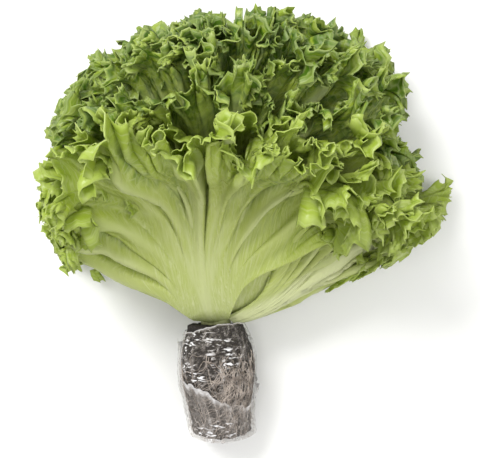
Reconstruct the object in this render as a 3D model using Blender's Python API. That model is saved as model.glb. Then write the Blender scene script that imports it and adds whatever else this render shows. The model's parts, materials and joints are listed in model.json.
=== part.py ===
"""Crystal lettuce head with its film-wrapped root plug, lying on its side.

Every length below is in millimetres and every angle in degrees; write_mesh turns them into metres.
The head's axis runs along +Y and the crown, where leaves, stem and plug meet, is the origin until
place_all moves the finished parts onto the floor.  +Z points up, away from the floor.

The leaves grow on nested cups.  A cup is named by its openness: 0 is the closed heart on the axis
and 1 is the widest cup.  Each leaf is drawn flat, rolled onto its own cup, waved, pressed by the
floor, and only then given its thickness, so both of its faces share one pattern of triangles.
"""
import math

import bpy
import numpy as np
from mathutils.bvhtree import BVHTree

# Head
LEAF_START = (13.0, 10.5)    # from the crown to the foot of the innermost, outermost leaf
CUP_RISE = (36.0, -1.0)      # where the innermost and the outermost cup leave the stem, along Y
CUP_DROP = 4.5               # how much lower the outermost cup starts on the side away from the floor
CUP_FOOT = 4.0               # from the axis to the start of every cup
CUP_SPREAD = 58.5            # half angle of the outermost cup
OPENNESS_POWER = 0.85        # under 1 opens the inner leaves more quickly
FLOOR_SQUASH = 20.0          # how far leaves under the axis may still hang before they lie flat
FLOOR_LEVEL = -8.0           # leaves below this height are pressed
FLOOR_DEPTH = -38.0          # below this the leaves lie flat on the floor
FLOOR_PLAY = 2.6
HEAD_SQUASH = 0.85           # flattening of the upper half

# Leaves, heart first: (direction round the axis, length, half width of the fan)
# Directions: 90 is straight up, 270 is the floor, 0 is the photo's right.
LEAVES = (
    (152, 222, 42), (270, 212, 42), (40, 226, 44), (170, 228, 42), (300, 218, 44), (65, 228, 46),
    (200, 222, 46), (2, 224, 46), (128, 206, 48), (250, 200, 46), (35, 216, 50), (175, 215, 48),
    (300, 202, 48), (96, 182, 50), (28, 205, 48), (215, 185, 50), (145, 190, 50), (50, 178, 54),
    (325, 205, 50), (165, 198, 52), (75, 182, 52), (265, 180, 50), (23, 214, 24), (102, 218, 49),
)
LEAF_THIN = 0.9              # at the margin
LEAF_THICK = 1.7             # at the foot
RIB_HEIGHT = 1.5             # midrib standing off the outer face
FOOT_HALF_WIDTH = (3.0, 15.0)  # innermost, outermost leaf
ROLL_LIMIT = 88.0            # how far a leaf may wrap round the axis, each way
MAIN_WAVES = 12              # frill waves along one leaf's margin
WAVE_SWING = 104.0           # steepest turn of the margin in a wave
WAVE_START = 0.44            # share of the leaf's length where the waves begin
CUT = 0.13                   # depth of the outermost leaf's cuts between the waves, share of length
SLOW_FOLD = 9.0              # height of the broad folds
CURL = (0.45, 0.45)          # how far the margin curls outwards, and how much that varies, in radians
CURL_STRIP = 28.0            # width of the margin that curls
COVER = 0.9                  # how much the waves are held down where an outer leaf covers them
COVER_GAP = 0.13             # difference in openness at which an outer leaf stops covering
GAP = 0.35                   # clear space kept between two parts
LEAF_MESH = (4, ((0.34, 2, 8), (0.5, 1, 4), (0.68, 1, 2), (0.85, 1, 1), (1.0, 1, 1)))

# How far the head reaches from the crown, seen from above: (direction, distance)
REACH = (
    (-30, 36), (0, 46), (7, 60), (12, 72), (15, 96), (18, 150), (21, 182), (26, 192), (33, 192),
    (39, 182), (45, 194),
    (53, 226), (63, 230), (80, 227), (91, 216), (109, 214), (123, 194), (137, 172), (155, 132),
    (163, 112), (169, 72), (176, 46), (184, 38), (210, 36),
)
VIEW_HEIGHT = 943.0          # eye above the crown for which REACH holds
VIEW_LEVEL = 10.0            # height, above the crown, at which REACH is true to size

# Plug, film and stem
PLUG_TOP = 2.5               # from the crown down to the soil
PLUG_LENGTH = 80.0
UPRIGHT_RUN = 30.0           # the plug's top faces the head; lower down it is square to the plug
PLUG_PROFILE = (             # (distance below the soil's top, radius)
    (0, 18.5), (4, 20.6), (13, 23.6), (24, 26.0), (35, 26.5), (46, 25.8), (57, 22.9), (68, 21.5),
    (80, 20.8),
)
PLUG_SIDES = 30
PLUG_LUMPS = ((0.7, 2, 90.0), (0.5, 3, -70.0), (0.35, 5, 60.0))  # (height, lumps round, run)
PLUG_LEAN = 2.4              # sideways lean towards the photo's right
HOLE_RADIUS = 11.8
HOLE_DEPTH = 12.0
FILM = 0.7
FILM_GAP = 0.8
FILM_TOP = (-1.5, 5.5)       # highest and lowest point of the film's edge, below the soil's top
FLOOR_BITE = 0.25            # a leaf that touches the floor is flattened by this much
FILM_BITE = 1.4              # the film, with the soil behind it, is flattened by this much
STEM_RADIUS = 10.2
STEM_FOOT = 8.5              # how far the stem reaches into the soil
STEM_PROFILE = ((3.0, 11.0), (12.0, 10.4), (24.0, 8.6), (36.0, 5.2), (44.0, 2.2))  # (along Y, radius)

# Colours (linear red, green, blue) and roughness
LEAF_LOOK = ((0.30, 0.42, 0.10), 0.45)
LOOKS = {
    "stem": ((0.33, 0.33, 0.16), 0.6),
    "root_plug": ((0.045, 0.036, 0.028), 0.95),
    "film_wrap": ((0.60, 0.60, 0.57), 0.2),
}


def smooth(low, high, x):
    """Ease from 0 at low to 1 at high."""
    t = np.clip((x - low) / (high - low), 0.0, 1.0)
    return t * t * (3 - 2 * t)


def ripple(x, seed, rates):
    """Uneven wave between about -1 and 1; the seed fixes its phases."""
    phases = np.random.default_rng(seed).uniform(0, 2 * math.pi, len(rates))
    weights = [1.0 / (1 + 0.5 * i) for i in range(len(rates))]
    total = sum(a * np.sin(2 * math.pi * f * x + p) for a, f, p in zip(weights, rates, phases))
    return total * 1.6 / sum(weights)


def bessel(order, x):
    """Bessel function of the first kind, from its integral."""
    tau = np.linspace(0, math.pi, 33)
    wave = np.cos(order * tau[None, :] - x.reshape(-1, 1) * np.sin(tau)[None, :])
    step = tau[1] - tau[0]
    return ((wave[:, 1:] + wave[:, :-1]).sum(axis=1) * step / 2 / math.pi).reshape(x.shape)


SWINGS = np.linspace(0, 2.0, 81)
J0, J1, J2 = (bessel(n, SWINGS) for n in range(3))
RISE = 2 * J1 / J0
SWAY = J2 / J0


def cup_angle(openness, azimuth):
    """Angle between the head's axis and a cup, before it bells out."""
    wide = CUP_SPREAD + 12.5 * np.cos(2 * azimuth) - 11 * np.sin(azimuth) + np.cos(azimuth)
    return openness * np.radians(wide)


def on_cup(openness, azimuth, radius):
    """Point of a cup at a distance from the crown."""
    angle = cup_angle(openness, azimuth)
    angle = angle + math.radians(22) * openness * np.exp(-(radius / 58) ** 2)
    up = np.sin(azimuth)
    bell = 3 + 13 * np.clip(up, 0, 1) ** 1.5 + 4 * np.clip(-up, 0, 1)
    size = 185 * (1 - 0.15 * openness)
    angle = angle + np.radians(bell) * openness ** 0.7 * smooth(0.62 * size, 1.1 * size, radius)
    foot = CUP_RISE[0] * (1 - openness) + CUP_RISE[1] * openness
    foot = foot - CUP_DROP * openness * np.clip(up, 0, 1) ** 2
    wide = CUP_FOOT + radius * np.sin(angle)
    return np.stack([wide * np.cos(azimuth), foot + radius * np.cos(angle), wide * np.sin(azimuth)], -1)


def lie_down(points):
    """Press the leaves under the axis against the floor and flatten the upper half a little."""
    z = points[..., 2]
    hang = np.maximum(FLOOR_LEVEL - z, 0)
    low = FLOOR_LEVEL - 0.12 * hang - 0.88 * FLOOR_SQUASH * (1 - np.exp(-hang / FLOOR_SQUASH))
    high = 15 + HEAD_SQUASH * (z - 15)
    under = np.maximum(FLOOR_DEPTH - low, 0)
    low = low + under - FLOOR_PLAY * (1 - np.exp(-under / FLOOR_PLAY))
    out = points.copy()
    out[..., 2] = np.where(z < FLOOR_LEVEL, low, np.where(z > 15, high, z))
    y = points[..., 1]
    out[..., 0] += 0.04 * y * smooth(0, 120, y)
    return out


def rows_of(columns, zones):
    """Rows of a leaf, foot first, as (share of the length, number of steps across)."""
    rows = [(0.0, max(2, columns // zones[0][2]))]
    done = 0.0
    for end, count, divisor in zones:
        for i in range(1, count + 1):
            rows.append((done + (end - done) * i / count, max(2, columns // divisor)))
        done = end
    return rows


def topology(rows):
    """Triangles, boundary loop and first point of each row, for rows that get finer outwards."""
    starts = np.cumsum([0] + [n + 1 for _, n in rows])
    tris = []
    for i in range(len(rows) - 1):
        few, many = rows[i][1], rows[i + 1][1]
        ratio = many // few
        j = np.arange(few)
        a, b = starts[i] + j, starts[i] + j + 1
        half = ratio // 2
        if ratio == 1:
            c, d = starts[i + 1] + j, starts[i + 1] + j + 1
            odd = (j % 2 == 0)[:, None]
            tris.append(np.where(odd, np.stack([a, d, c], 1), np.stack([b, d, c], 1)))
            tris.append(np.where(odd, np.stack([a, b, d], 1), np.stack([a, b, c], 1)))
            continue
        for k in range(ratio):
            c, d = starts[i + 1] + ratio * j + k, starts[i + 1] + ratio * j + k + 1
            tris.append(np.stack([a if k < half else b, d, c], 1))
        tris.append(np.stack([a, b, starts[i + 1] + ratio * j + half], 1))
    last = len(rows) - 1
    edge = [starts[0] + k for k in range(rows[0][1] + 1)]
    edge += [starts[i] + rows[i][1] for i in range(1, last + 1)]
    edge += [starts[last] + k for k in range(rows[last][1] - 1, -1, -1)]
    edge += [starts[i] for i in range(last - 1, 0, -1)]
    return np.concatenate(tris), np.array(edge), starts


def normals(points, tris):
    """Unit normal at every point, from the triangles round it."""
    face = np.cross(points[tris[:, 1]] - points[tris[:, 0]], points[tris[:, 2]] - points[tris[:, 0]])
    out = np.zeros_like(points)
    for corner in range(3):
        np.add.at(out, tris[:, corner], face)
    return out / np.maximum(np.linalg.norm(out, axis=1, keepdims=True), 1e-12)


def along_rows(points, rows, starts):
    """Direction along each row, and the length of the row's half at that pace."""
    way = np.zeros_like(points)
    for i, (_, n) in enumerate(rows):
        row = slice(starts[i], starts[i] + n + 1)
        way[row] = np.gradient(points[row], 2.0 / n, axis=0)
    size = np.linalg.norm(way, axis=1)
    return way / np.maximum(size[:, None], 1e-9), size


def meander(points, normal, way, size, phase, swing, waves):
    """Wave a sheet like a river bend: it rises along the normal and sways along the row."""
    unit = (size * 2.0 / waves / (2 * math.pi))[:, None]
    rise = (np.interp(swing, SWINGS, RISE) * np.sin(phase))[:, None]
    sway = (np.interp(swing, SWINGS, SWAY) * np.sin(2 * phase))[:, None]
    return points + unit * (normal * rise + way * sway)


def excess(points):
    """How far points stand out of the head's outline seen from above: 1 on it, more outside it."""
    x, y, z = points.T
    near = VIEW_HEIGHT / (VIEW_HEIGHT + VIEW_LEVEL - z)
    seen = np.degrees(np.arctan2(y, x))
    seen = np.where(seen < -90, seen + 360, seen)
    return np.hypot(x, y) * near / np.interp(seen, *zip(*REACH))


class Leaf:
    """One leaf: where it sits, how it waves, and the sheet and solid made from that."""

    def __init__(self, index):
        azimuth, length, fan = LEAVES[index]
        self.index = index
        self.openness = ((index + 1.4) / (len(LEAVES) + 0.8)) ** OPENNESS_POWER
        self.azimuth = math.radians(azimuth)
        self.length = length
        self.fan = math.radians(fan)
        self.seed = index * 7 + 3
        narrow, wide = FOOT_HALF_WIDTH
        self.foot = narrow + (wide - narrow) * self.openness ** 3
        inner, outer = LEAF_START
        self.start = inner + (outer - inner) * self.openness ** 3
        self.slim = 1.0
        self.calm = np.ones(MAIN_WAVES)
        self.trim = np.ones(41)
        self.over = []
        self.fit_reach()

    def flat(self, u, v, reach):
        """Flat leaf's point (u, v): its angle round the leaf's root and its distance from it."""
        slim = self.slim + (1 - self.slim) * smooth(0.25, 0.6, v)
        turn = self.fan * u * (1 - 0.55 * (1 - v) ** 2) * slim
        across = u * self.foot * (1 - 0.3 * v) * slim + reach * v * np.sin(turn)
        out = self.start + reach * v * np.cos(turn)
        return np.arctan2(across, out), np.hypot(across, out)

    def draw(self, u, v, cut):
        """Direction round the axis and distance from the crown of the leaf's point (u, v).

        The margin is cut in between its waves, by the share of the length given as cut.
        """
        reach = self.length * (1 - 0.46 * np.abs(u) ** 2.4)
        reach = reach * (1 + 0.05 * ripple((u + 1) / 2, self.seed + 1, (1.1, 2.7, 4.1)))
        reach = reach * np.interp(u, np.linspace(-1, 1, 41), self.trim)
        reach = reach * (1 - cut * self.openness * (0.5 - 0.5 * np.cos(math.pi * MAIN_WAVES * (u + 1))))
        cone = math.sin(max(cup_angle(self.openness, self.azimuth), 0.12))
        angle, radius = self.flat(u, v, reach)
        edge_angle, edge_radius = self.flat(1.0, v, self.length * 0.6)
        roll = radius * angle / (CUP_FOOT + radius * cone)
        widest = edge_radius * edge_angle / (CUP_FOOT + edge_radius * cone)
        limit = math.radians(ROLL_LIMIT)
        return self.azimuth + roll * np.tanh(widest / limit) * limit / widest, radius

    def covered(self, azimuth, radius):
        """How closely outer leaves cover points: 0 where a point is free, up to 1 right under one."""
        share = np.zeros_like(azimuth)
        for leaf in self.over:
            turns, radii = leaf.draw(np.linspace(-1, 1, 41), np.ones(41), 0.0)
            turn = (azimuth - leaf.azimuth + math.pi) % (2 * math.pi) - math.pi
            limit = np.interp(turn, turns - leaf.azimuth, radii, left=1.0, right=1.0)
            near = math.exp(-((leaf.openness - self.openness) / COVER_GAP) ** 2)
            share = np.maximum(share, near * (1 - smooth(0.82, 0.98, radius / limit)))
        return share

    def fit_reach(self):
        """Shorten the leaf where it would stand out of the head's outline seen from above."""
        u = np.linspace(-1, 1, 41)
        for _ in range(3):
            azimuth, radius = self.draw(u, np.ones(41), 0.0)
            out = excess(lie_down(on_cup(self.openness, azimuth, radius)))
            self.trim = self.trim * (1 + np.maximum(out, 0.2) ** 24) ** (-1 / 24)
        for _ in range(4):
            out = excess(self.sheet(*LEAF_MESH)[0])
            near = (np.abs(u[:, None] - self.u[None, :]) < 0.1) & (self.v[None, :] > 0.8)
            worst = np.where(near, out[None, :], 0).max(axis=1)
            self.trim = self.trim * np.maximum(worst, 1.0) ** -0.7
            wide = np.pad(self.trim, 2, mode="edge")
            self.trim = sum(wide[i:i + 41] for i in range(5)) / 5

    def sheet(self, per_wave, zones):
        """Middle surface of the leaf: its points, triangles and boundary loop."""
        rows = rows_of(MAIN_WAVES * per_wave, zones)
        tris, edge, starts = topology(rows)
        u = np.concatenate([np.linspace(-1, 1, n + 1) for _, n in rows])
        v = np.concatenate([np.full(n + 1, share) for share, n in rows])
        s = (u + 1) / 2
        calm = np.interp(s * MAIN_WAVES - 0.5, np.arange(MAIN_WAVES), self.calm)
        uneven = ripple(s, self.seed + 2, (2.1, 5.3, 8.9)) * smooth(0.3, 0.8, v) * (1 - u ** 2)
        azimuth, radius = self.draw(u + 0.35 / MAIN_WAVES * uneven, v, CUT)
        free = 1 - COVER * self.covered(azimuth, radius)
        tip = 1 - COVER * self.covered(*self.draw(u, np.ones_like(u), 0.0))
        points = on_cup(self.openness, azimuth, radius)
        outer = on_cup(self.openness, azimuth, radius + 1) - points
        side = on_cup(self.openness, azimuth + 0.01, radius) - points
        off = np.cross(outer, side)
        off *= -np.sign(off[:, 1:2] + 1e-9)
        normal = normals(points, tris)
        if np.mean(np.einsum("ij,ij->i", normal, off)) < 0:
            tris, edge, normal = tris[:, ::-1], edge[::-1], -normal
        strip = CURL_STRIP
        x = np.clip((v - 1) * self.length / strip + 1, 0, 1)
        curl = calm * tip * (CURL[0] + CURL[1] * ripple(s, self.seed + 8, (1.3, 2.9, 4.3)))
        curl = np.where(np.abs(curl) < 0.02, 0.02, curl)
        points = points + normal * (strip * (1 - np.cos(curl * x)) / curl)[:, None]
        points = points + outer * (strip * (np.sin(curl * x) / curl - x))[:, None]
        slow = ripple(s * 1.7 + 0.15 * v, self.seed + 4, (1.3, 2.1, 3.2))
        slow = slow * SLOW_FOLD * smooth(0.35, 1.0, v) * self.length / 180 * calm * tip
        points = points + normals(points, tris) * slow[:, None]
        start = WAVE_START + 0.06 * ripple(s, self.seed + 5, (3.1, 6.7, 9.1))
        growth = np.clip((v - start) / (1 - start), 0, 1) ** 1.1
        lift = 0.80 + 0.30 * ripple(s, self.seed + 6, (2.9, 6.1, 8.3))
        swing = np.clip(math.radians(WAVE_SWING) * lift, 0, 1.8) * growth * calm * free
        phase = 2 * math.pi * MAIN_WAVES * s + math.pi / 2
        way, size = along_rows(points, rows, starts)
        points = meander(points, normals(points, tris), way, size, phase, swing, MAIN_WAVES)
        self.rows, self.u, self.v, self.s, self.edge = rows, u, v, s, edge
        return lie_down(points), tris, edge

    def solid(self, extra=0.0):
        """Closed body of the leaf as points and triangles; extra thickens it for gap tests."""
        points, tris, edge = self.sheet(*LEAF_MESH)
        u, v = self.u, self.v
        normal = normals(points, tris)
        half = LEAF_THIN + (LEAF_THICK - LEAF_THIN) * (1 - smooth(0.0, 0.75, v)) + extra
        across = u * self.foot + self.length * v * np.sin(self.fan * u)
        rib = RIB_HEIGHT * self.slim * np.exp(-(across / (3 + 5 * (1 - v))) ** 2)
        rib = rib * (1 - smooth(0.25, 0.9, v))
        outside = points + normal * (half / 2 + rib)[:, None]
        inside = points - normal * (half / 2)[:, None]
        n = len(points)
        a, b = edge, np.roll(edge, -1)
        rim = np.concatenate([np.stack([a, a + n, b], 1), np.stack([b, a + n, b + n], 1)])
        return np.concatenate([outside, inside]), np.concatenate([tris, tris[:, ::-1] + n, rim])


def tree_of(body):
    """Search tree of a body's triangles."""
    return BVHTree.FromPolygons(body[0].tolist(), body[1].tolist())


def touching(leaves):
    """Waves of each leaf that come within the gap of another leaf, or of itself, by leaf number.

    A foot that does is given as wave -1.
    """
    bodies = [leaf.solid(GAP) for leaf in leaves]
    trees = [tree_of(body) for body in bodies]
    thin = [tree_of(leaf.solid()) for leaf in leaves]
    pairs = [(i, j, trees[i].overlap(trees[j])) for i in range(len(leaves)) for j in range(i)]
    pairs += [(i, i, trees[i].overlap(trees[i]) + thin[i].overlap(thin[i])) for i in range(len(leaves))]
    found = {}
    for i, j, hits in pairs:
        for hit in hits:
            corners = [set(bodies[k][1][tri]) for k, tri in zip((i, j), hit)]
            if i == j and corners[0] & corners[1]:
                continue
            for k, points in zip((i, j), corners):
                s, v = (np.mean([at[p % len(at)] for p in points]) for at in (leaves[k].s, leaves[k].v))
                wave = int(min(s * MAIN_WAVES, MAIN_WAVES - 1)) if v > 0.5 else -1
                found.setdefault(k, set()).add(wave)
    return found


def calm_leaves(leaves):
    """Calm the waves and slim the feet bit by bit until no two bodies touch."""
    for _ in range(40):
        found = touching(leaves)
        if not found:
            return
        for k, waves in found.items():
            if -1 in waves:
                leaves[k].slim *= 0.96
            for wave in waves - {-1}:
                leaves[k].calm[max(wave - 1, 0):wave + 2] *= 0.96
                leaves[k].calm[wave] *= 0.97


def ring_round(centre, tilt, radius, sides):
    """One ring of points square to an axis that tips down by tilt from -Y."""
    turn = np.arange(sides) * 2 * math.pi / sides
    across = np.outer(radius * np.cos(turn), (1.0, 0.0, 0.0))
    return centre + across + np.outer(radius * np.sin(turn), (0.0, -math.sin(tilt), math.cos(tilt)))


def skin(rings, turned=0):
    """Closed body through rings in order, its ends closed by fans.

    The first few bands, as many as turned says, are split along their other diagonal, so that the
    two faces of a thin wall are split alike.
    """
    count, sides = rings.shape[:2]
    points = np.concatenate([rings.reshape(-1, 3), rings[0].mean(0)[None], rings[-1].mean(0)[None]])
    j = np.arange(sides)
    k = (j + 1) % sides
    tris = []
    for i in range(count - 1):
        a, b = i * sides, (i + 1) * sides
        if i < turned:
            tris += [np.stack([a + j, a + k, b + j], 1), np.stack([a + k, b + k, b + j], 1)]
        else:
            tris += [np.stack([a + j, a + k, b + k], 1), np.stack([a + j, b + k, b + j], 1)]
    first, last = count * sides, count * sides + 1
    tris.append(np.stack([np.full(sides, first), k, j], 1))
    end = (count - 1) * sides
    tris.append(np.stack([np.full(sides, last), end + j, end + k], 1))
    return points, np.concatenate(tris)


class Plug:
    """Wrapped root plug: the soil with its hole, the film round it and the stem in the hole."""

    def __init__(self, floor):
        self.floor = -math.inf
        low, high = 0.0, math.radians(40)
        for _ in range(30):
            self.tilt = (low + high) / 2
            if self.film_body()[0][:, 2].min() < floor - FILM_BITE:
                high = self.tilt
            else:
                low = self.tilt
        self.floor = floor

    def centre(self, depth):
        """Points of the plug's axis at depths below the crown."""
        way = np.array([math.tan(math.radians(PLUG_LEAN)), -math.cos(self.tilt), -math.sin(self.tilt)])
        return np.multiply.outer(depth, way)

    def upright(self, depth, radius):
        """Depths round a ring that make it square to the head's axis near the soil's top."""
        turn = np.arange(PLUG_SIDES) * 2 * math.pi / PLUG_SIDES
        share = np.clip(1 - depth / UPRIGHT_RUN, 0, 1)
        return depth - radius * np.sin(turn) * math.tan(self.tilt) * share

    def wall(self, depth, extra, floor):
        """Ring of a wall round the soil, depth below the soil's top; flat where the floor is."""
        turn = np.arange(PLUG_SIDES) / PLUG_SIDES
        level, depth = depth, self.upright(depth, 20.0)
        lumps = sum(high * np.sin(2 * math.pi * (count * turn + depth / run) + count)
                    for high, count, run in PLUG_LUMPS)
        radius = np.interp(level, *zip(*PLUG_PROFILE)) + lumps + extra
        ring = ring_round(self.centre(PLUG_TOP + depth), self.tilt, radius, PLUG_SIDES)
        ring[:, 2] = np.maximum(ring[:, 2], floor)
        return ring

    def ring(self, depth, radius):
        """Plain ring round the plug's axis."""
        centres = self.centre(PLUG_TOP + self.upright(depth, radius))
        return ring_round(centres, self.tilt, radius, PLUG_SIDES)

    def end(self, ring, depth, share):
        """Ring drawn in towards the axis, to close the foot of a wall."""
        return ring * (1 - share) + self.centre(PLUG_TOP + depth) * share

    def soil_body(self):
        """Soil with a plain blind hole for the stem."""
        rings = [self.ring(depth, radius) for depth, radius in
                 ((HOLE_DEPTH, HOLE_RADIUS * 0.5), (HOLE_DEPTH, HOLE_RADIUS), (-0.6, HOLE_RADIUS),
                  (-0.4, HOLE_RADIUS + 3.0))]
        rings += [self.wall(depth, 0.0, self.floor + FILM + FILM_GAP) for depth, _ in PLUG_PROFILE]
        rings.append(self.end(rings[-1], PLUG_LENGTH + 1.0, 0.5))
        return skin(np.array(rings))

    def film_body(self):
        """Thin film bag round the soil, open at the top with a slanting edge."""
        turn = np.arange(PLUG_SIDES) * 2 * math.pi / PLUG_SIDES
        low, high = FILM_TOP
        edge = (low + high) / 2 - (high - low) / 2 * np.cos(turn) + 0.5 * np.sin(3 * turn)
        next_depth = PLUG_PROFILE[2][0]
        depths = [edge, (edge + next_depth) / 2] + [depth for depth, _ in PLUG_PROFILE[2:]]
        inside = [self.wall(depth, FILM_GAP, self.floor + FILM) for depth in depths]
        outside = [self.wall(depth, FILM_GAP + FILM, self.floor) for depth in depths]
        foot = PLUG_LENGTH + 2.0
        inside.append(self.wall(foot, -1.0, self.floor + FILM))
        outside.append(self.wall(foot + FILM, -0.5, self.floor))
        inside.append(self.end(inside[-1], foot + 1.0, 0.5))
        outside.append(self.end(outside[-1], foot + 1.2 + FILM, 0.5))
        return skin(np.array(inside[::-1] + outside), len(inside) - 1)

    def stem_body(self):
        """Short stem: its foot in the soil's hole, its upper part in the middle of the leaves."""
        sides = 16
        low = PLUG_TOP + STEM_FOOT
        rings = [ring_round(self.centre(depth), self.tilt * bend, STEM_RADIUS * size, sides)
                 for depth, bend, size in ((low, 1.0, 0.7), (low - 2.5, 1.0, 1.0), (PLUG_TOP + 1.0, 1.0, 1.0))]
        rings += [ring_round(np.array([0.0, y, 0.0]), 0.0, radius, sides)
                  for y, radius in STEM_PROFILE]
        return skin(np.array(rings[::-1]))


def write_mesh(name, body, colour, roughness):
    """Make one named object with its own material; millimetres become metres."""
    points, tris = body
    mesh = bpy.data.meshes.new(name)
    mesh.from_pydata((points * 0.001).tolist(), [], tris.tolist())
    mesh.polygons.foreach_set("use_smooth", [True] * len(tris))
    mesh.update()
    material = bpy.data.materials.new(name)
    material.use_nodes = True
    shader = material.node_tree.nodes["Principled BSDF"]
    shader.inputs["Base Color"].default_value = colour + (1.0,)
    shader.inputs["Roughness"].default_value = roughness
    shader.inputs["Metallic"].default_value = 0.0
    mesh.materials.append(material)
    thing = bpy.data.objects.new(name, mesh)
    bpy.context.scene.collection.objects.link(thing)
    return thing


def place_all(bodies):
    """Stand the lowest point on the floor and centre the whole over the origin."""
    everything = np.concatenate([points for points, _ in bodies.values()])
    low, high = everything.min(0), everything.max(0)
    shift = np.array([(low[0] + high[0]) / 2, (low[1] + high[1]) / 2, low[2]])
    return {name: (points - shift, tris) for name, (points, tris) in bodies.items()}


def build():
    """Make every leaf, then the plug that fits under them."""
    for thing in list(bpy.data.objects):
        bpy.data.objects.remove(thing)
    leaves = [Leaf(i) for i in range(len(LEAVES))]
    for leaf in leaves:
        leaf.over = [other for other in leaves[leaf.index + 1:]
                     if other.openness - leaf.openness < 2.2 * COVER_GAP]
    calm_leaves(leaves)
    bodies = {f"leaf_{leaf.index + 1:02d}": leaf.solid() for leaf in leaves}
    floor = min(points[:, 2].min() for points, _ in bodies.values()) + FLOOR_BITE
    for points, _ in bodies.values():
        points[:, 2] = np.maximum(points[:, 2], floor)
    plug = Plug(floor)
    bodies["stem"] = plug.stem_body()
    bodies["root_plug"] = plug.soil_body()
    bodies["film_wrap"] = plug.film_body()
    for name, body in place_all(bodies).items():
        colour, roughness = LOOKS.get(name, LEAF_LOOK)
        write_mesh(name, body, colour, roughness)


build()
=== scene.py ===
"""Crystal lettuce head with its film-wrapped root plug, lying on its side: the visual model.

Lengths in this file are millimetres and angles degrees unless a name says otherwise; the one
function that makes objects turns them into metres.  The crown, where leaves, stem and plug meet,
is the growing origin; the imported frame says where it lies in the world.  The head's axis runs along
+Y and +Z points up, away from the floor.
"""
import sys

import enum
import json
import logging
import math
from collections.abc import Callable
from dataclasses import dataclass, field
from functools import partial

import bpy
import numpy as np
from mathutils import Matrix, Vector, noise
from mathutils.bvhtree import BVHTree

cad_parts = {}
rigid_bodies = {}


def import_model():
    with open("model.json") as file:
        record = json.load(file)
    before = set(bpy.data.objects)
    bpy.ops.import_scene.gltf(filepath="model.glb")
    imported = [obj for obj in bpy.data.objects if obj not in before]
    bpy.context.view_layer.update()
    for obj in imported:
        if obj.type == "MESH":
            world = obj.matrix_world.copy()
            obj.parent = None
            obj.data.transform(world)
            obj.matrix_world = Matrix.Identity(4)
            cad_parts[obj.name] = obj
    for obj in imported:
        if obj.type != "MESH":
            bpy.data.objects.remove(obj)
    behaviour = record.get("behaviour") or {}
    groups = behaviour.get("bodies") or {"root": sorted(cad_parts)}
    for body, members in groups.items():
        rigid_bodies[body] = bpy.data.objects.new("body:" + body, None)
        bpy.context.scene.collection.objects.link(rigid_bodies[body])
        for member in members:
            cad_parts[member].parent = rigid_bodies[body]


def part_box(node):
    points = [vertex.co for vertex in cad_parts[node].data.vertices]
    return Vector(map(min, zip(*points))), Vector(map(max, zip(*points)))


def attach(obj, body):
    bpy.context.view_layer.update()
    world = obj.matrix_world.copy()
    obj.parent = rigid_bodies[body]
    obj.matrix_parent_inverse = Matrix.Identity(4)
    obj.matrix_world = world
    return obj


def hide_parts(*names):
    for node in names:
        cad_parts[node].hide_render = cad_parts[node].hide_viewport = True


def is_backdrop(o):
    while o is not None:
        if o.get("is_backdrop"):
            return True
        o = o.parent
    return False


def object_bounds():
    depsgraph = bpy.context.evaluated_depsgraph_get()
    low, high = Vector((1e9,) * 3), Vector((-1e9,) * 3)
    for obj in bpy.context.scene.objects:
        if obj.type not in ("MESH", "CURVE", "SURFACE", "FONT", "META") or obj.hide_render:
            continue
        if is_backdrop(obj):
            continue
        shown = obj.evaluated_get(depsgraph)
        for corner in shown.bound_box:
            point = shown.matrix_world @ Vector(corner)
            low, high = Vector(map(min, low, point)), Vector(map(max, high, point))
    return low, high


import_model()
log = logging.getLogger("lettuce")
Array = np.ndarray
Pair = tuple[float, float]
Triple = tuple[float, float, float]
Material = bpy.types.Material
Node = bpy.types.Node
Tree = bpy.types.NodeTree
Adder = Callable[..., Node]

METRES = 0.001
BODY = "root"
TURN = 2 * math.pi
LUMP_SHIFT = np.array([7.31, 3.17, 5.03])
RIPPLE_HEIGHT = 1.6
BESSEL_STEPS = 33
NO_LENGTH = 1e-12


# Small maths

def ease(low: float, high: float, x: Array) -> Array:
    """Values that ease from 0 at low to 1 at high."""
    t = np.clip((x - low) / (high - low), 0.0, 1.0)
    return t * t * (3 - 2 * t)


def ripple(x: Array, seed: int, rates: tuple[float, ...]) -> Array:
    """Uneven wave between about -1 and 1.

    Args:
        x: Places to evaluate.
        seed: Fixes the phases.
        rates: Waves per unit of x, one for each part of the sum.

    Returns:
        The wave at each place.
    """
    phases = np.random.default_rng(seed).uniform(0, TURN, len(rates))
    weights = [1.0 / (1 + 0.5 * i) for i in range(len(rates))]
    total = sum(a * np.sin(TURN * f * x + p) for a, f, p in zip(weights, rates, phases))
    return total * RIPPLE_HEIGHT / sum(weights)


def bessel(order: int, x: Array) -> Array:
    """Bessel function of the first kind, from its integral.

    Args:
        order: Order of the function.
        x: Places to evaluate.

    Returns:
        The function at each place.
    """
    tau = np.linspace(0, math.pi, BESSEL_STEPS)
    wave = np.cos(order * tau[None, :] - x.reshape(-1, 1) * np.sin(tau)[None, :])
    step = tau[1] - tau[0]
    return ((wave[:, 1:] + wave[:, :-1]).sum(axis=1) * step / 2 / math.pi).reshape(x.shape)


def lumps(points: Array, size: float, seed: int) -> Array:
    """Smooth random field between about -1 and 1, in lumps of one size, moved by the seed."""
    shifted = points / size + seed * LUMP_SHIFT
    return np.array([noise.noise(p) for p in shifted.tolist()])


def unit(vectors: Array) -> Array:
    """Vectors scaled to length 1."""
    return vectors / np.maximum(np.linalg.norm(vectors, axis=1, keepdims=True), NO_LENGTH)


def normals(points: Array, tris: Array) -> Array:
    """Unit normal at every point, from the triangles round it.

    Args:
        points: Points of the mesh.
        tris: Triangles as point numbers.

    Returns:
        One unit vector for each point.
    """
    face = np.cross(points[tris[:, 1]] - points[tris[:, 0]], points[tris[:, 2]] - points[tris[:, 0]])
    out = np.zeros_like(points)
    for corner in range(3):
        for axis in range(3):
            out[:, axis] += np.bincount(tris[:, corner], face[:, axis], len(points))
    return unit(out)


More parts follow.
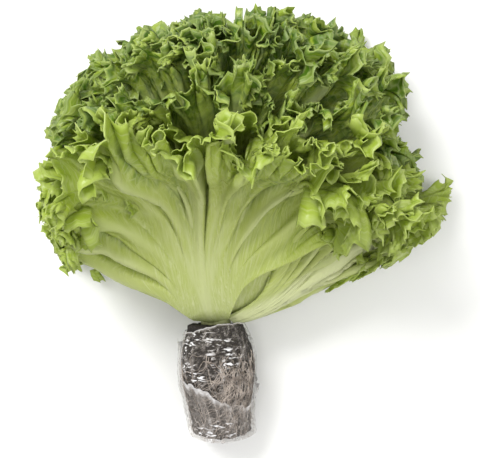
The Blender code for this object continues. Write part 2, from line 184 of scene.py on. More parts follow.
# A river bend turns by a swing times the cosine of its phase; these give its rise and its sway.
SWINGS = np.linspace(0, 2.0, 81)
J0, J1, J2 = (bessel(n, SWINGS) for n in range(3))
RISE = 2 * J1 / J0
SWAY = J2 / J0


# Meshes

@dataclass(frozen=True)
class Body:
    """Closed mesh before it becomes an object; its triangles from the rim's first on are flat."""

    points: Array
    tris: Array
    values: dict[str, Array] = field(default_factory=dict)
    rim: int | None = None


def add_object(name: str, data: bpy.types.ID) -> bpy.types.Object:
    """Make an object and link it into the scene.

    Args:
        name: Name of the object.
        data: Its mesh, light or camera.

    Returns:
        The new object.
    """
    made = bpy.data.objects.new(name, data)
    bpy.context.scene.collection.objects.link(made)
    return made


def make_piece(name: str, body: Body, material: Material, shift: Array) -> bpy.types.Object:
    """Turn a body into a Blender object that rides on the frame.

    Args:
        name: Name of the piece.
        body: Mesh in millimetres, measured from the crown.
        material: Finish of the piece.
        shift: The crown's place in the world, in millimetres.

    Returns:
        The new object.
    """
    mesh = bpy.data.meshes.new(name)
    points = (body.points + shift) * METRES
    mesh.vertices.add(len(points))
    mesh.vertices.foreach_set("co", points.astype(np.float32).ravel())
    mesh.loops.add(body.tris.size)
    mesh.loops.foreach_set("vertex_index", body.tris.astype(np.int32).ravel())
    mesh.polygons.add(len(body.tris))
    mesh.polygons.foreach_set("loop_start", np.arange(0, body.tris.size, 3, dtype=np.int32))
    soft = np.ones(len(body.tris), bool)
    if body.rim is not None:
        soft[body.rim:] = False
    mesh.polygons.foreach_set("use_smooth", soft)
    mesh.update(calc_edges=True)
    for key, value in body.values.items():
        kind, part = ("FLOAT", "value") if value.ndim == 1 else ("FLOAT_VECTOR", "vector")
        layer = mesh.attributes.new(key, kind, "POINT")
        layer.data.foreach_set(part, value.astype(np.float32).ravel())
    mesh.materials.append(material)
    piece = add_object(name, mesh)
    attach(piece, BODY)
    log.info("%s: %d points, %d triangles", name, len(points), len(body.tris))
    return piece


def skin(rings: Array, first: bool = True, last: bool = True) -> Body:
    """Join rings of points in order.

    Args:
        rings: Rings, each with the same number of points.
        first: Whether the first ring is closed by a fan.
        last: Whether the last ring is closed by a fan.

    Returns:
        The body.
    """
    count, sides = rings.shape[:2]
    points = np.concatenate([rings.reshape(-1, 3), rings[0].mean(0)[None], rings[-1].mean(0)[None]])
    j = np.arange(sides)
    k = (j + 1) % sides
    tris = []
    for i in range(count - 1):
        a, b = i * sides, (i + 1) * sides
        tris += [np.stack([a + j, a + k, b + k], 1), np.stack([a + j, b + k, b + j], 1)]
    end = (count - 1) * sides
    if first:
        tris.append(np.stack([np.full(sides, count * sides), k, j], 1))
    if last:
        tris.append(np.stack([np.full(sides, count * sides + 1), end + j, end + k], 1))
    return Body(points, np.concatenate(tris))


@dataclass(frozen=True)
class Grid:
    """Rows of a leaf: points in each wave at the margin, and zones of (end, rows, coarser by)."""

    per_wave: int
    zones: tuple[tuple[float, int, int], ...]


class Sheet:
    """Middle surface of a leaf, in rows of points that get finer outwards.

    Across the leaf u runs from -1 to 1 and s from 0 to 1; v runs from the foot to the margin.
    """

    def __init__(self, waves: int, grid: Grid) -> None:
        """Lay out the rows and join them.

        Args:
            waves: Main waves of the leaf.
            grid: How finely it is cut.
        """
        columns = waves * grid.per_wave
        self.rows = [(0.0, max(2, columns // grid.zones[0][2]))]
        done = 0.0
        for end, count, divisor in grid.zones:
            self.rows += [(done + (end - done) * i / count, max(2, columns // divisor))
                          for i in range(1, count + 1)]
            done = end
        self.starts = np.cumsum([0] + [n + 1 for _, n in self.rows])
        self.u = np.concatenate([np.linspace(-1, 1, n + 1) for _, n in self.rows])
        self.v = np.concatenate([np.full(n + 1, share) for share, n in self.rows])
        self.s = (self.u + 1) / 2
        self.points = np.zeros((len(self.u), 3))
        last = len(self.rows) - 1
        self.tris = np.concatenate([self.strip(i) for i in range(last)])
        edge = list(range(self.rows[0][1] + 1))
        edge += [self.starts[i] + self.rows[i][1] for i in range(1, last + 1)]
        edge += [self.starts[last] + k for k in range(self.rows[last][1] - 1, -1, -1)]
        self.edge = np.array(edge + [self.starts[i] for i in range(last - 1, 0, -1)])

    def strip(self, i: int) -> Array:
        """Triangles between one row and the next, which is as fine or finer.

        Args:
            i: Number of the row.

        Returns:
            The triangles.
        """
        few, many = self.rows[i][1], self.rows[i + 1][1]
        ratio, half = many // few, many // few // 2
        j = np.arange(few)
        a, b, after = self.starts[i] + j, self.starts[i] + j + 1, self.starts[i + 1]
        if ratio == 1:
            odd = (j % 2 == 0)[:, None]
            c, d = after + j, after + j + 1
            return np.concatenate([np.where(odd, np.stack([a, d, c], 1), np.stack([b, d, c], 1)),
                                   np.where(odd, np.stack([a, b, d], 1), np.stack([a, b, c], 1))])
        c = after + ratio * j
        fans = [np.stack([a if k < half else b, c + k + 1, c + k], 1) for k in range(ratio)]
        return np.concatenate(fans + [np.stack([a, b, c + half], 1)])

    def flip(self) -> None:
        """Turn the sheet's faces over."""
        self.tris, self.edge = self.tris[:, ::-1], self.edge[::-1]

    def normals(self) -> Array:
        """Unit normal at every point."""
        return normals(self.points, self.tris)

    def lift(self, height: Array) -> None:
        """Move every point along its normal."""
        self.points = self.points + self.normals() * height[:, None]

    def along(self) -> tuple[Array, Array]:
        """Unit direction along the row, and half the row's length at that pace, for each point.

        Returns:
            The directions and the half lengths.
        """
        way = np.zeros_like(self.points)
        for first, (_, n) in zip(self.starts, self.rows):
            way[first:first + n + 1] = np.gradient(self.points[first:first + n + 1], 2.0 / n, axis=0)
        size = np.linalg.norm(way, axis=1)
        return way / np.maximum(size[:, None], 1e-9), size

    def averaged(self, values: Array, share: float) -> Array:
        """Average values along each row, so that a wave starts from a calm direction.

        Args:
            values: One number or vector for each point.
            share: Width of the average, as a share of the row.

        Returns:
            The averaged values.
        """
        out = values.copy()
        for first, (_, n) in zip(self.starts, self.rows):
            reach = int(round(share * n / 2))
            if reach < 1:
                continue
            row = values[first:first + n + 1]
            index = np.clip(np.arange(-reach, n + 1 + reach), 0, n)
            total = np.cumsum(np.concatenate([np.zeros_like(row[:1]), row[index]]), axis=0)
            out[first:first + n + 1] = (total[2 * reach + 1:] - total[:-2 * reach - 1]) / (2 * reach + 1)
        return out

    def wave(self, count: float, swing: Array, lag: Array | float, calm: float = 0.0,
             even: float = 0.0, longest: float = math.inf) -> None:
        """Wave the sheet like a river bend: it rises along the normal and sways along the row.

        Args:
            count: Waves along a row.
            swing: Steepest turn at each point, in radians.
            lag: Added to the phase, in radians.
            calm: Width that the normals are averaged over, in waves.
            even: Width that the lengths are averaged over, in waves.
            longest: Longest wave.
        """
        way, size = self.along()
        normal = self.normals()
        if calm:
            normal = unit(self.averaged(normal, calm / count))
        size = self.averaged(np.minimum(size, longest * count / 2), even / count)
        phase = TURN * count * self.s + lag
        scale = (size * 2.0 / count / TURN)[:, None]
        rise = (np.interp(swing, SWINGS, RISE) * np.sin(phase))[:, None]
        sway = (np.interp(swing, SWINGS, SWAY) * np.sin(2 * phase))[:, None]
        self.points = self.points + scale * (normal * rise + way * sway)

    def closed(self, out: Array, back: Array, values: dict[str, Array] | None = None) -> Body:
        """Give the sheet its thickness.

        Args:
            out: Distance of the outer face.
            back: Distance of the inner face.
            values: Values for each point of the sheet.

        Returns:
            The closed body.
        """
        normal, n = self.normals(), len(self.points)
        a, b = self.edge, np.roll(self.edge, -1)
        rim = np.concatenate([np.stack([a, a + n, b], 1), np.stack([b, a + n, b + n], 1)])
        both = np.concatenate([self.points + normal * out[:, None], self.points - normal * back[:, None]])
        doubled = {key: np.concatenate([value, value]) for key, value in (values or {}).items()}
        tris = np.concatenate([self.tris, self.tris[:, ::-1] + n, rim])
        return Body(both, tris, doubled, 2 * len(self.tris))


# Finishes

def linear(colour: str) -> tuple[float, ...]:
    """Turn an sRGB hex colour into linear red, green, blue and alpha 1."""
    parts = [int(colour[i:i + 2], 16) / 255 for i in (0, 2, 4)]
    return *(p / 12.92 if p <= 0.04045 else ((p + 0.055) / 1.055) ** 2.4 for p in parts), 1.0


def add_node(tree: Tree, kind: str, inputs: dict | tuple = (), **settings: object) -> Node:
    """Add one node with its settings and links.

    Args:
        tree: Node tree of the material.
        kind: Blender's name of the node type, after "ShaderNode".
        inputs: By input name or number, or in order: a value, a hex colour, or what to link from,
            as a socket or as a node whose first output is meant.
        settings: Properties by name. A ramp's stops are (position, hex colour) pairs.

    Returns:
        The new node.
    """
    node = tree.nodes.new("ShaderNode" + kind)
    stops = settings.pop("stops", ())
    while stops and len(node.color_ramp.elements) < len(stops):
        node.color_ramp.elements.new(0.5)
    for stop, (position, colour) in zip(node.color_ramp.elements if stops else (), stops):
        stop.position, stop.color = position, linear(colour)
    for key, value in settings.items():
        setattr(node, key, value)
    for key, value in (inputs if isinstance(inputs, dict) else dict(enumerate(inputs))).items():
        if isinstance(value, (Node, bpy.types.NodeSocket)):
            tree.links.new(value.outputs[0] if isinstance(value, Node) else value, node.inputs[key])
        else:
            node.inputs[key].default_value = linear(value) if isinstance(value, str) else value
    return node


@dataclass(frozen=True)
class Finish:
    """What every finish has: the name of its material and a shader."""

    name: str = ""

    def shader(self, add: Adder) -> Node:
        """Node that shades the surface."""
        raise NotImplementedError

    def make(self) -> Material:
        """Build the material.

        Returns:
            The material.
        """
        material = bpy.data.materials.new(self.name)
        material.use_nodes = True
        material.node_tree.nodes.clear()
        add = partial(add_node, material.node_tree)
        add("OutputMaterial", {"Surface": self.shader(add)})
        return material


@dataclass(frozen=True)
class LeafFinish(Finish):
    """Fresh lettuce leaf, grown: a waxy cuticle over wet tissue.

    The cuticle gives a soft broad gloss; the thin blade lets light through, yellower than it
    reflects it; the veins are paler and stand a little proud.
    """

    name: str = "lettuce_leaf_waxy_cuticle"
    foot: str = "C3CD80"
    blade: str = "BECA66"
    frill: str = "B1C249"
    margin: str = "A4BA3C"
    rim: str = "CDD988"
    vein: str = "DEE3AC"
    # Painted shade colour: this deep green stands for shade on inner leaves and in the grooves between
    # ridges.
    deep: str = "4B720C"
    glow: str = "B4C64A"
    roughness: float = 0.34
    ior: float = 1.42
    through: float = 0.30
    mesh: float = 3.4
    fibre: float = 1.1
    blister: float = 5.5
    grain: float = 0.9

    def shader(self, add: Adder) -> Node:
        """Shade the leaf from its share, vein, rim, painted shade and map values; the painted shade value
        lays on the deep green.

        Args:
            add: Adds a node to the material.

        Returns:
            The last shader.
        """
        share, vein, rim, painted_shade = (add("Attribute", attribute_name=key).outputs["Fac"]
                                  for key in ("share", "vein", "rim", "painted_shade"))
        span = add("Attribute", attribute_name="map").outputs["Vector"]
        blister = add("TexNoise", {"Vector": span, "Scale": 1 / self.blister, "Detail": 3.0})
        patch = add("TexNoise", {"Vector": span, "Scale": 1 / (6 * self.blister), "Detail": 2.0})
        wander = add("Math", (patch, 0.22, -0.11), operation="MULTIPLY_ADD")
        place = add("Math", (share, wander), operation="ADD")
        skin_tone = add("ValToRGB", {"Fac": place}, stops=(
            (0.05, self.foot), (0.45, self.blade), (0.78, self.frill), (1.0, self.margin)))
        mottle = add("MapRange", (blister, 0.36, 0.64, 0.2, 1.9))
        # Painted shade: the deep green is laid on by the shade value, more towards the margin and broken up
        # by the mottle.
        painted_shade_by_share = add("Math", (painted_shade, share), operation="MULTIPLY")
        uneven = add("Math", (painted_shade_by_share, mottle), operation="MULTIPLY", use_clamp=True)
        shaded_colour = add("Mix", {0: uneven, 6: skin_tone, 7: self.deep}, data_type="RGBA")
        stretched = add("Mapping", {"Vector": span, "Scale": (1.0, 0.09, 1.0)})
        fibre = add("TexNoise", {"Vector": stretched, "Scale": 1 / self.fibre, "Detail": 4.0,
                                 "Roughness": 0.6})
        streak = add("MapRange", (fibre, 0.44, 0.68, 0.0, 0.85))
        fade = add("MapRange", (share, 0.15, 0.95, 1.0, 0.25))
        streaked = add("Math", (streak, fade), operation="MULTIPLY")
        lengthwise = add("Mapping", {"Vector": span, "Scale": (1.0, 0.4, 1.0)})
        net = add("TexVoronoi", {"Vector": lengthwise, "Scale": 1 / self.mesh},
                  feature="DISTANCE_TO_EDGE")
        lines = add("MapRange", (net, 0.0, 0.09, 0.34, 0.0))
        fine = add("Math", (lines, streaked), operation="MAXIMUM")
        pale = add("Math", (vein, fine), operation="MAXIMUM")
        veined = add("Mix", {0: pale, 6: shaded_colour.outputs[2], 7: self.vein}, data_type="RGBA")
        rimmed = add("Mix", {0: rim, 6: veined.outputs[2], 7: self.rim}, data_type="RGBA").outputs[2]
        relief = add("Math", (fibre, 0.5, blister), operation="MULTIPLY_ADD")
        bump = add("Bump", {"Height": relief, "Strength": 0.5, "Distance": 0.0011})
        grain = add("TexVoronoi", {"Vector": span, "Scale": 1 / self.grain})
        cells = add("Bump", {"Height": grain, "Normal": bump, "Strength": 0.25, "Distance": 0.00012})
        gloss = add("MapRange", (blister, 0.3, 0.7, self.roughness - 0.10, self.roughness + 0.16))
        surface = add("BsdfPrincipled", {"Base Color": rimmed, "Roughness": gloss, "Normal": cells,
                                         "IOR": self.ior, "Metallic": 0.0})
        lit = add("Mix", {0: 0.45, 6: rimmed, 7: self.glow}, data_type="RGBA").outputs[2]
        through = add("BsdfTranslucent", {"Color": lit, "Normal": cells})
        return add("MixShader", (self.through, surface, through))


@dataclass(frozen=True)
class PeatFinish(Finish):
    """Damp milled peat, pressed into a plug: matt, near black, with lighter fibres."""

    name: str = "damp_peat_pressed"
    dark: str = "1A1511"
    mid: str = "27221D"
    fibre: str = "6A5D50"
    roughness: float = 0.9
    crumb: float = 1.6

    def shader(self, add: Adder) -> Node:
        """Shade the peat.

        Args:
            add: Adds a node to the material.

        Returns:
            The last shader.
        """
        span = add("TexCoord").outputs["Object"]
        crumb = add("TexNoise", {"Vector": span, "Scale": 1000 / self.crumb, "Detail": 5.0,
                                 "Roughness": 0.65})
        strand = add("TexVoronoi", {"Vector": span, "Scale": 1000 / (3 * self.crumb)},
                     feature="DISTANCE_TO_EDGE")
        colour = add("ValToRGB", {"Fac": crumb}, stops=(
            (0.35, self.dark), (0.6, self.mid), (0.75, self.fibre)))
        wet = add("MapRange", (crumb, 0.4, 0.6, self.roughness - 0.25, self.roughness))
        rough = add("Bump", {"Height": crumb, "Strength": 0.9, "Distance": 0.0012})
        grooves = add("Bump", {"Height": strand, "Normal": rough, "Strength": 0.5, "Distance": 0.0008})
        return add("BsdfPrincipled", {"Base Color": colour, "Roughness": wet, "Normal": grooves,
                                      "IOR": 1.4, "Metallic": 0.0})


@dataclass(frozen=True)
class RootFinish(Finish):
    """Living root, grown: pale tan, a little wet, browner where older."""

    name: str = "lettuce_root_tissue"
    pale: str = "BBAEA2"
    brown: str = "6A5E54"
    roughness: float = 0.55
    spot: float = 7.0

    def shader(self, add: Adder) -> Node:
        """Shade the roots.

        Args:
            add: Adds a node to the material.

        Returns:
            The last shader.
        """
        span = add("TexCoord").outputs["Object"]
        spot = add("TexNoise", {"Vector": span, "Scale": 1000 / self.spot, "Detail": 3.0})
        colour = add("ValToRGB", {"Fac": spot}, stops=((0.38, self.brown), (0.62, self.pale)))
        return add("BsdfPrincipled", {"Base Color": colour, "IOR": 1.4, "Metallic": 0.0,
                                      "Roughness": self.roughness})


@dataclass(frozen=True)
class StemFinish(Finish):
    """Lettuce stem, grown: pale green above, browned and earthy where it meets the soil."""

    name: str = "lettuce_stem_tissue"
    green: str = "AEB37C"
    brown: str = "4A4029"
    roughness: float = 0.6
    streak: float = 1.5

    def shader(self, add: Adder) -> Node:
        """Shade the stem from its share value.

        Args:
            add: Adds a node to the material.

        Returns:
            The last shader.
        """
        share = add("Attribute", attribute_name="share").outputs["Fac"]
        long = add("Mapping", {"Vector": add("TexCoord").outputs["Object"], "Scale": (1.0, 0.2, 1.0)})
        streak = add("TexNoise", {"Vector": long, "Scale": 1000 / self.streak, "Detail": 4.0})
        mixed = add("Math", (streak, 0.5, share), operation="MULTIPLY_ADD")
        colour = add("ValToRGB", {"Fac": mixed}, stops=((0.45, self.brown), (0.85, self.green)))
        bump = add("Bump", {"Height": streak, "Strength": 0.5, "Distance": 0.0006})
        return add("BsdfPrincipled", {"Base Color": colour, "Normal": bump, "IOR": 1.4, "Metallic": 0.0,
                                      "Roughness": self.roughness})


@dataclass(frozen=True)
class FilmFinish(Finish):
    """Polyethylene stretch film, blown: clear and glossy; sharp white glints are painted on its wrinkles,
    and its milky creases are partly whitening of the film and partly painted highlight.
    """

    name: str = "polyethylene_film_blown"
    tint: str = "B9B0A8"
    # White of the painted glints and of the milky creases, which are partly painted highlight.
    white: str = "F7F7F9"
    clear: float = 0.04
    # Opacity at the creases, whose white is partly milky film and partly painted highlight.
    milky_and_highlight: float = 0.72
    # Strength of the painted glints.
    glint: float = 0.95
    roughness: float = 0.12
    ior: float = 1.5
    crease: float = 3.6
    wrinkle: float = 1.9

    def shader(self, add: Adder) -> Node:
        """Shade the film from its crease value, partly milky whitening and partly painted highlight, and its
        painted glint value.

        Args:
            add: Adds a node to the material.

        Returns:
            The last shader.
        """
        crease, glint = (add("Attribute", attribute_name=key).outputs["Fac"] for key in ("crease", "glint"))
        span = add("TexCoord").outputs["Object"]
        bent = add("TexNoise", {"Vector": span, "Scale": 1000 / self.crease, "Detail": 3.0,
                                "Distortion": 1.2})
        long = add("Mapping", {"Vector": span, "Scale": (0.30, 1.1, 0.6)})
        line = add("TexNoise", {"Vector": long, "Scale": 1000 / self.wrinkle, "Detail": 3.0,
                                "Roughness": 0.5, "Distortion": 0.9})
        # Painted highlight: thin white streaks stand for glints on the wrinkles.
        painted_glint_streak = add("MapRange", (line, 0.535, 0.60, 0.0, self.glint))
        painted_highlight = add("Math", (painted_glint_streak, glint), operation="MULTIPLY")
        seen = add("MapRange", (crease, 0.0, 1.0, self.clear, self.milky_and_highlight))
        solid = add("Math", (seen, painted_highlight), operation="MAXIMUM")
        first = add("Bump", {"Height": bent, "Strength": 0.8, "Distance": 0.0020})
        second = add("Bump", {"Height": line, "Normal": first, "Strength": 0.6, "Distance": 0.0010})
        # Whiteness from the milky creases and the painted glints: partly milky film, partly painted
        # highlight.
        doubled = add("MapRange", (solid, 0.35, 0.95, 0.0, 1.0))
        colour = add("Mix", {0: doubled, 6: self.tint, 7: self.white}, data_type="RGBA").outputs[2]
        return add("BsdfPrincipled", {"Base Color": colour, "Alpha": solid, "Normal": second,
                                      "IOR": self.ior, "Metallic": 0.0, "Roughness": self.roughness})


@dataclass(frozen=True)
class SweepFinish(Finish):
    """Studio paper sweep, coated white: plain and matt."""

    name: str = "coated_white_paper"
    white: str = "F4F4F2"
    roughness: float = 0.75

    def shader(self, add: Adder) -> Node:
        """Shade the floor."""
        return add("BsdfPrincipled", {"Base Color": self.white, "Roughness": self.roughness})


# Leaves

@dataclass(frozen=True)
class Cups:
    """Nested cups that the leaves lie on: openness 0 is the closed heart and 1 the widest cup.

    The widest cup spreads more to both sides (oval) and below (sag), flares at its foot and bells
    out at its margin, by (all round, above, below); pressed by the floor, a little gives way.
    """

    rise: Pair = (36.0, -1.0)
    drop: float = 4.5
    foot: float = 4.0
    spread: float = 58.5
    oval: float = 12.5
    sag: float = 11.0
    flare: float = 22.0
    flare_run: float = 58.0
    bell: Triple = (3.0, 13.0, 4.0)
    bell_size: float = 185.0
    floor_squash: float = 20.0
    floor_level: float = -8.0
    floor_give: float = 0.12
    floor_depth: float = -38.0
    floor_play: float = 2.6
    head_level: float = 15.0
    head_squash: float = 0.85
    bend: float = 0.04
    bend_run: float = 120.0

    def angle(self, openness: float, azimuth: Array) -> Array:
        """Angle between the axis and a cup in a direction, in radians, before it bells out."""
        wide = self.spread + self.oval * np.cos(2 * azimuth) - self.sag * np.sin(azimuth) + np.cos(azimuth)
        return openness * np.radians(wide)

    def point(self, openness: float, azimuth: Array, radius: Array) -> Array:
        """Points of a cup, measured from the crown.

        Args:
            openness: Which cup.
            azimuth: Direction round the axis, in radians.
            radius: Distance from the crown.

        Returns:
            The points.
        """
        up = np.sin(azimuth)
        angle = self.angle(openness, azimuth)
        angle = angle + math.radians(self.flare) * openness * np.exp(-(radius / self.flare_run) ** 2)
        bell, above, below = self.bell
        bell = bell + above * np.clip(up, 0, 1) ** 1.5 + below * np.clip(-up, 0, 1)
        size = self.bell_size * (1 - 0.15 * openness)
        angle = angle + np.radians(bell) * openness ** 0.7 * ease(0.62 * size, 1.1 * size, radius)
        start = self.rise[0] * (1 - openness) + self.rise[1] * openness
        start = start - self.drop * openness * np.clip(up, 0, 1) ** 2
        wide = self.foot + radius * np.sin(angle)
        return np.stack([wide * np.cos(azimuth), start + radius * np.cos(angle), wide * up], -1)

    def pressed(self, points: Array) -> Array:
        """Lay the head down: press what is under the axis and flatten the upper half a little.

        Args:
            points: Points, measured from the crown.

        Returns:
            The pressed points.
        """
        z = points[..., 2]
        hang = np.maximum(self.floor_level - z, 0)
        low = self.floor_level - self.floor_give * hang
        low = low - (1 - self.floor_give) * self.floor_squash * (1 - np.exp(-hang / self.floor_squash))
        high = self.head_level + self.head_squash * (z - self.head_level)
        under = np.maximum(self.floor_depth - low, 0)
        low = low + under - self.floor_play * (1 - np.exp(-under / self.floor_play))
        out = points.copy()
        out[..., 2] = np.where(z < self.floor_level, low, np.where(z > self.head_level, high, z))
        y = points[..., 1]
        out[..., 0] += self.bend * y * ease(0, self.bend_run, y)
        return out


@dataclass(frozen=True)
class Reach:
    """How far the head reaches from the crown, seen from above: (direction, distance).

    Points may stand out of it by the edge's share, which varies in lumps.
    """

    limits: tuple[Pair, ...] = (
        (-30, 36), (0, 46), (7, 60), (12, 72), (15, 96), (18, 150), (21, 182), (26, 192), (33, 192),
        (39, 182), (45, 194), (53, 226), (63, 230), (80, 227), (91, 216), (109, 214), (123, 194),
        (137, 172), (155, 132), (163, 112), (169, 72), (176, 46), (184, 38), (210, 36))
    eye: float = 943.0
    level: float = 10.0
    middle: float = 105.0
    soft: float = 0.14
    edge: float = 1.05
    edge_play: float = 0.08
    edge_lump: float = 9.0

    def excess(self, points: Array) -> Array:
        """How far points stand out: 1 on the outline, more outside it.

        Args:
            points: Points, measured from the crown.

        Returns:
            The share of the outline's reach.
        """
        x, y, z = points.T
        near = self.eye / (self.eye + self.level - z)
        seen = np.degrees(np.arctan2(y, x))
        seen = np.where(seen < -90, seen + 360, seen)
        return np.hypot(x, y) * near / np.interp(seen, *zip(*self.limits))

    def kept(self, points: Array) -> Array:
        """Crowd points that stand out of the outline up against it, towards the head's middle.

        Args:
            points: Points, measured from the crown.

        Returns:
            The points, none of them clear of the outline.
        """
        limit = self.edge + self.edge_play * lumps(points, self.edge_lump, 21)
        way = (points - np.array([0.0, self.middle, 0.0])) * np.array([1.0, 1.0, 0.0])
        low, high = np.full(len(points), 0.3), np.full(len(points), 1.7)
        for _ in range(9):
            share = (low + high) / 2
            inside = self.excess(points + way * (share - 1)[:, None]) < limit
            low, high = np.where(inside, share, low), np.where(inside, high, share)
        over = np.maximum(1 / low - 1 + self.soft, 0)
        share = np.where(over > 0, (1 - self.soft * np.exp(-over / self.soft)) * low, 1.0)
        return points + way * (share - 1)[:, None]


@dataclass(frozen=True)
class Blade:
    """Sizes shared by all leaf blades.

    The slow folds are sized for a leaf of the usual length.  Nesting gives the steps left out at the
    heart and outside it, and the power, of a leaf's openness.  A blade right over this one takes the
    cover's share of its waves and curl.  Pairs of curl, wave_start and swing_share are (middle, play).
    """

    usual: float = 180.0
    nesting: Triple = (1.4, 0.8, 0.85)
    start: Pair = (13.0, 10.5)
    thin: float = 0.9
    thick: float = 1.7
    rib: float = 1.5
    rib_half: Pair = (3.0, 5.0)
    foot_half: Pair = (3.0, 15.0)
    roll_limit: float = 88.0
    fan_closed: float = 0.55
    foot_taper: float = 0.3
    side_short: float = 0.46
    side_power: float = 2.4
    length_play: float = 0.05
    waves: int = 12
    swing: float = 104.0
    swing_share: Pair = (0.80, 0.30)
    swing_limit: float = 1.8
    wave_start: Pair = (0.44, 0.06)
    wobble: float = 0.35
    cut: float = 0.13
    slow_fold: float = 9.0
    cover: float = 0.9
    cover_gap: float = 0.13
    cover_edge: Pair = (0.82, 0.98)
    curl: Pair = (0.45, 0.45)
    curl_strip: float = 28.0
    gap: float = 0.35


@dataclass(frozen=True)
class Trim:
    """What only the visual leaves have: small frills, lobes, teeth, veins and a thin margin, with painted
    shade in the grooves between ridges and a painted highlight on their crests.
    """

    calm: Pair = (0.62, 0.80)
    curl: Pair = (0.95, 0.35)
    curl_play: float = 0.9
    curl_strip: float = 30.0
    main_period: float = 32.0
    small_period: float = 16.0
    small_waves: float = 4.0
    small_swing: float = 1.60
    small_share: Pair = (0.85, 0.35)
    small_limit: float = 1.75
    small_lag: float = 1.5
    small_start: float = 0.62
    tiny_waves: float = 2.7
    tiny_swing: float = 0.95
    tiny_share: Pair = (0.7, 0.4)
    tiny_limit: float = 1.4
    tiny_lag: float = 2.0
    tiny_start: float = 0.88
    lobe: float = 4.0
    teeth: int = 20
    tooth: float = 3.8
    tooth_share: Pair = (0.15, 1.25)
    tooth_start: float = 0.93
    pleat: float = 5.6
    margin: float = 0.5
    blade: float = 0.8
    vein: float = 0.55
    rim_start: float = 0.985
    rim_share: float = 0.26
    # Paler ridge crests: partly rib colour, partly painted highlight.
    ridge_pale_and_highlight: float = 0.6
    # Painted shade: share of deep green laid in the grooves between ridges.
    groove_painted_shade: float = 0.55
    pucker: float = 1.0
    pucker_size: float = 11.0


class Layer(enum.Enum):
    """Where a leaf sits in the head; its value is the share of painted shade, a deep green, that its frills
    take: inner leaves get more, standing for the shade of the leaves over them.
    """

    HEART = 0.78
    MIDDLE = 0.54
    OUTER = 0.04


@dataclass(frozen=True)
class Vein:
    """One vein: from its parent's place it bends to its own, with a half width and height at its start."""

    parent: float
    place: float
    start: float
    width: float
    height: float

    def ridge(self, sheet: Sheet, half: Array) -> Array:
        """Height of the vein over the blade.

        Args:
            sheet: Middle surface of the leaf.
            half: Half width of the leaf at each point.

        Returns:
            The height, 0 away from the vein.
        """
        u, v = sheet.u, sheet.v
        course = self.parent + (self.place - self.parent) * ease(self.start, 0.95, v) ** 0.7
        width = self.width * (1.15 - 0.85 * v)
        grown = ease(self.start - 0.04, self.start + 0.08, v) * (1 - 0.8 * v)
        return self.height * grown * np.exp(-((u - course) * half / width) ** 2)


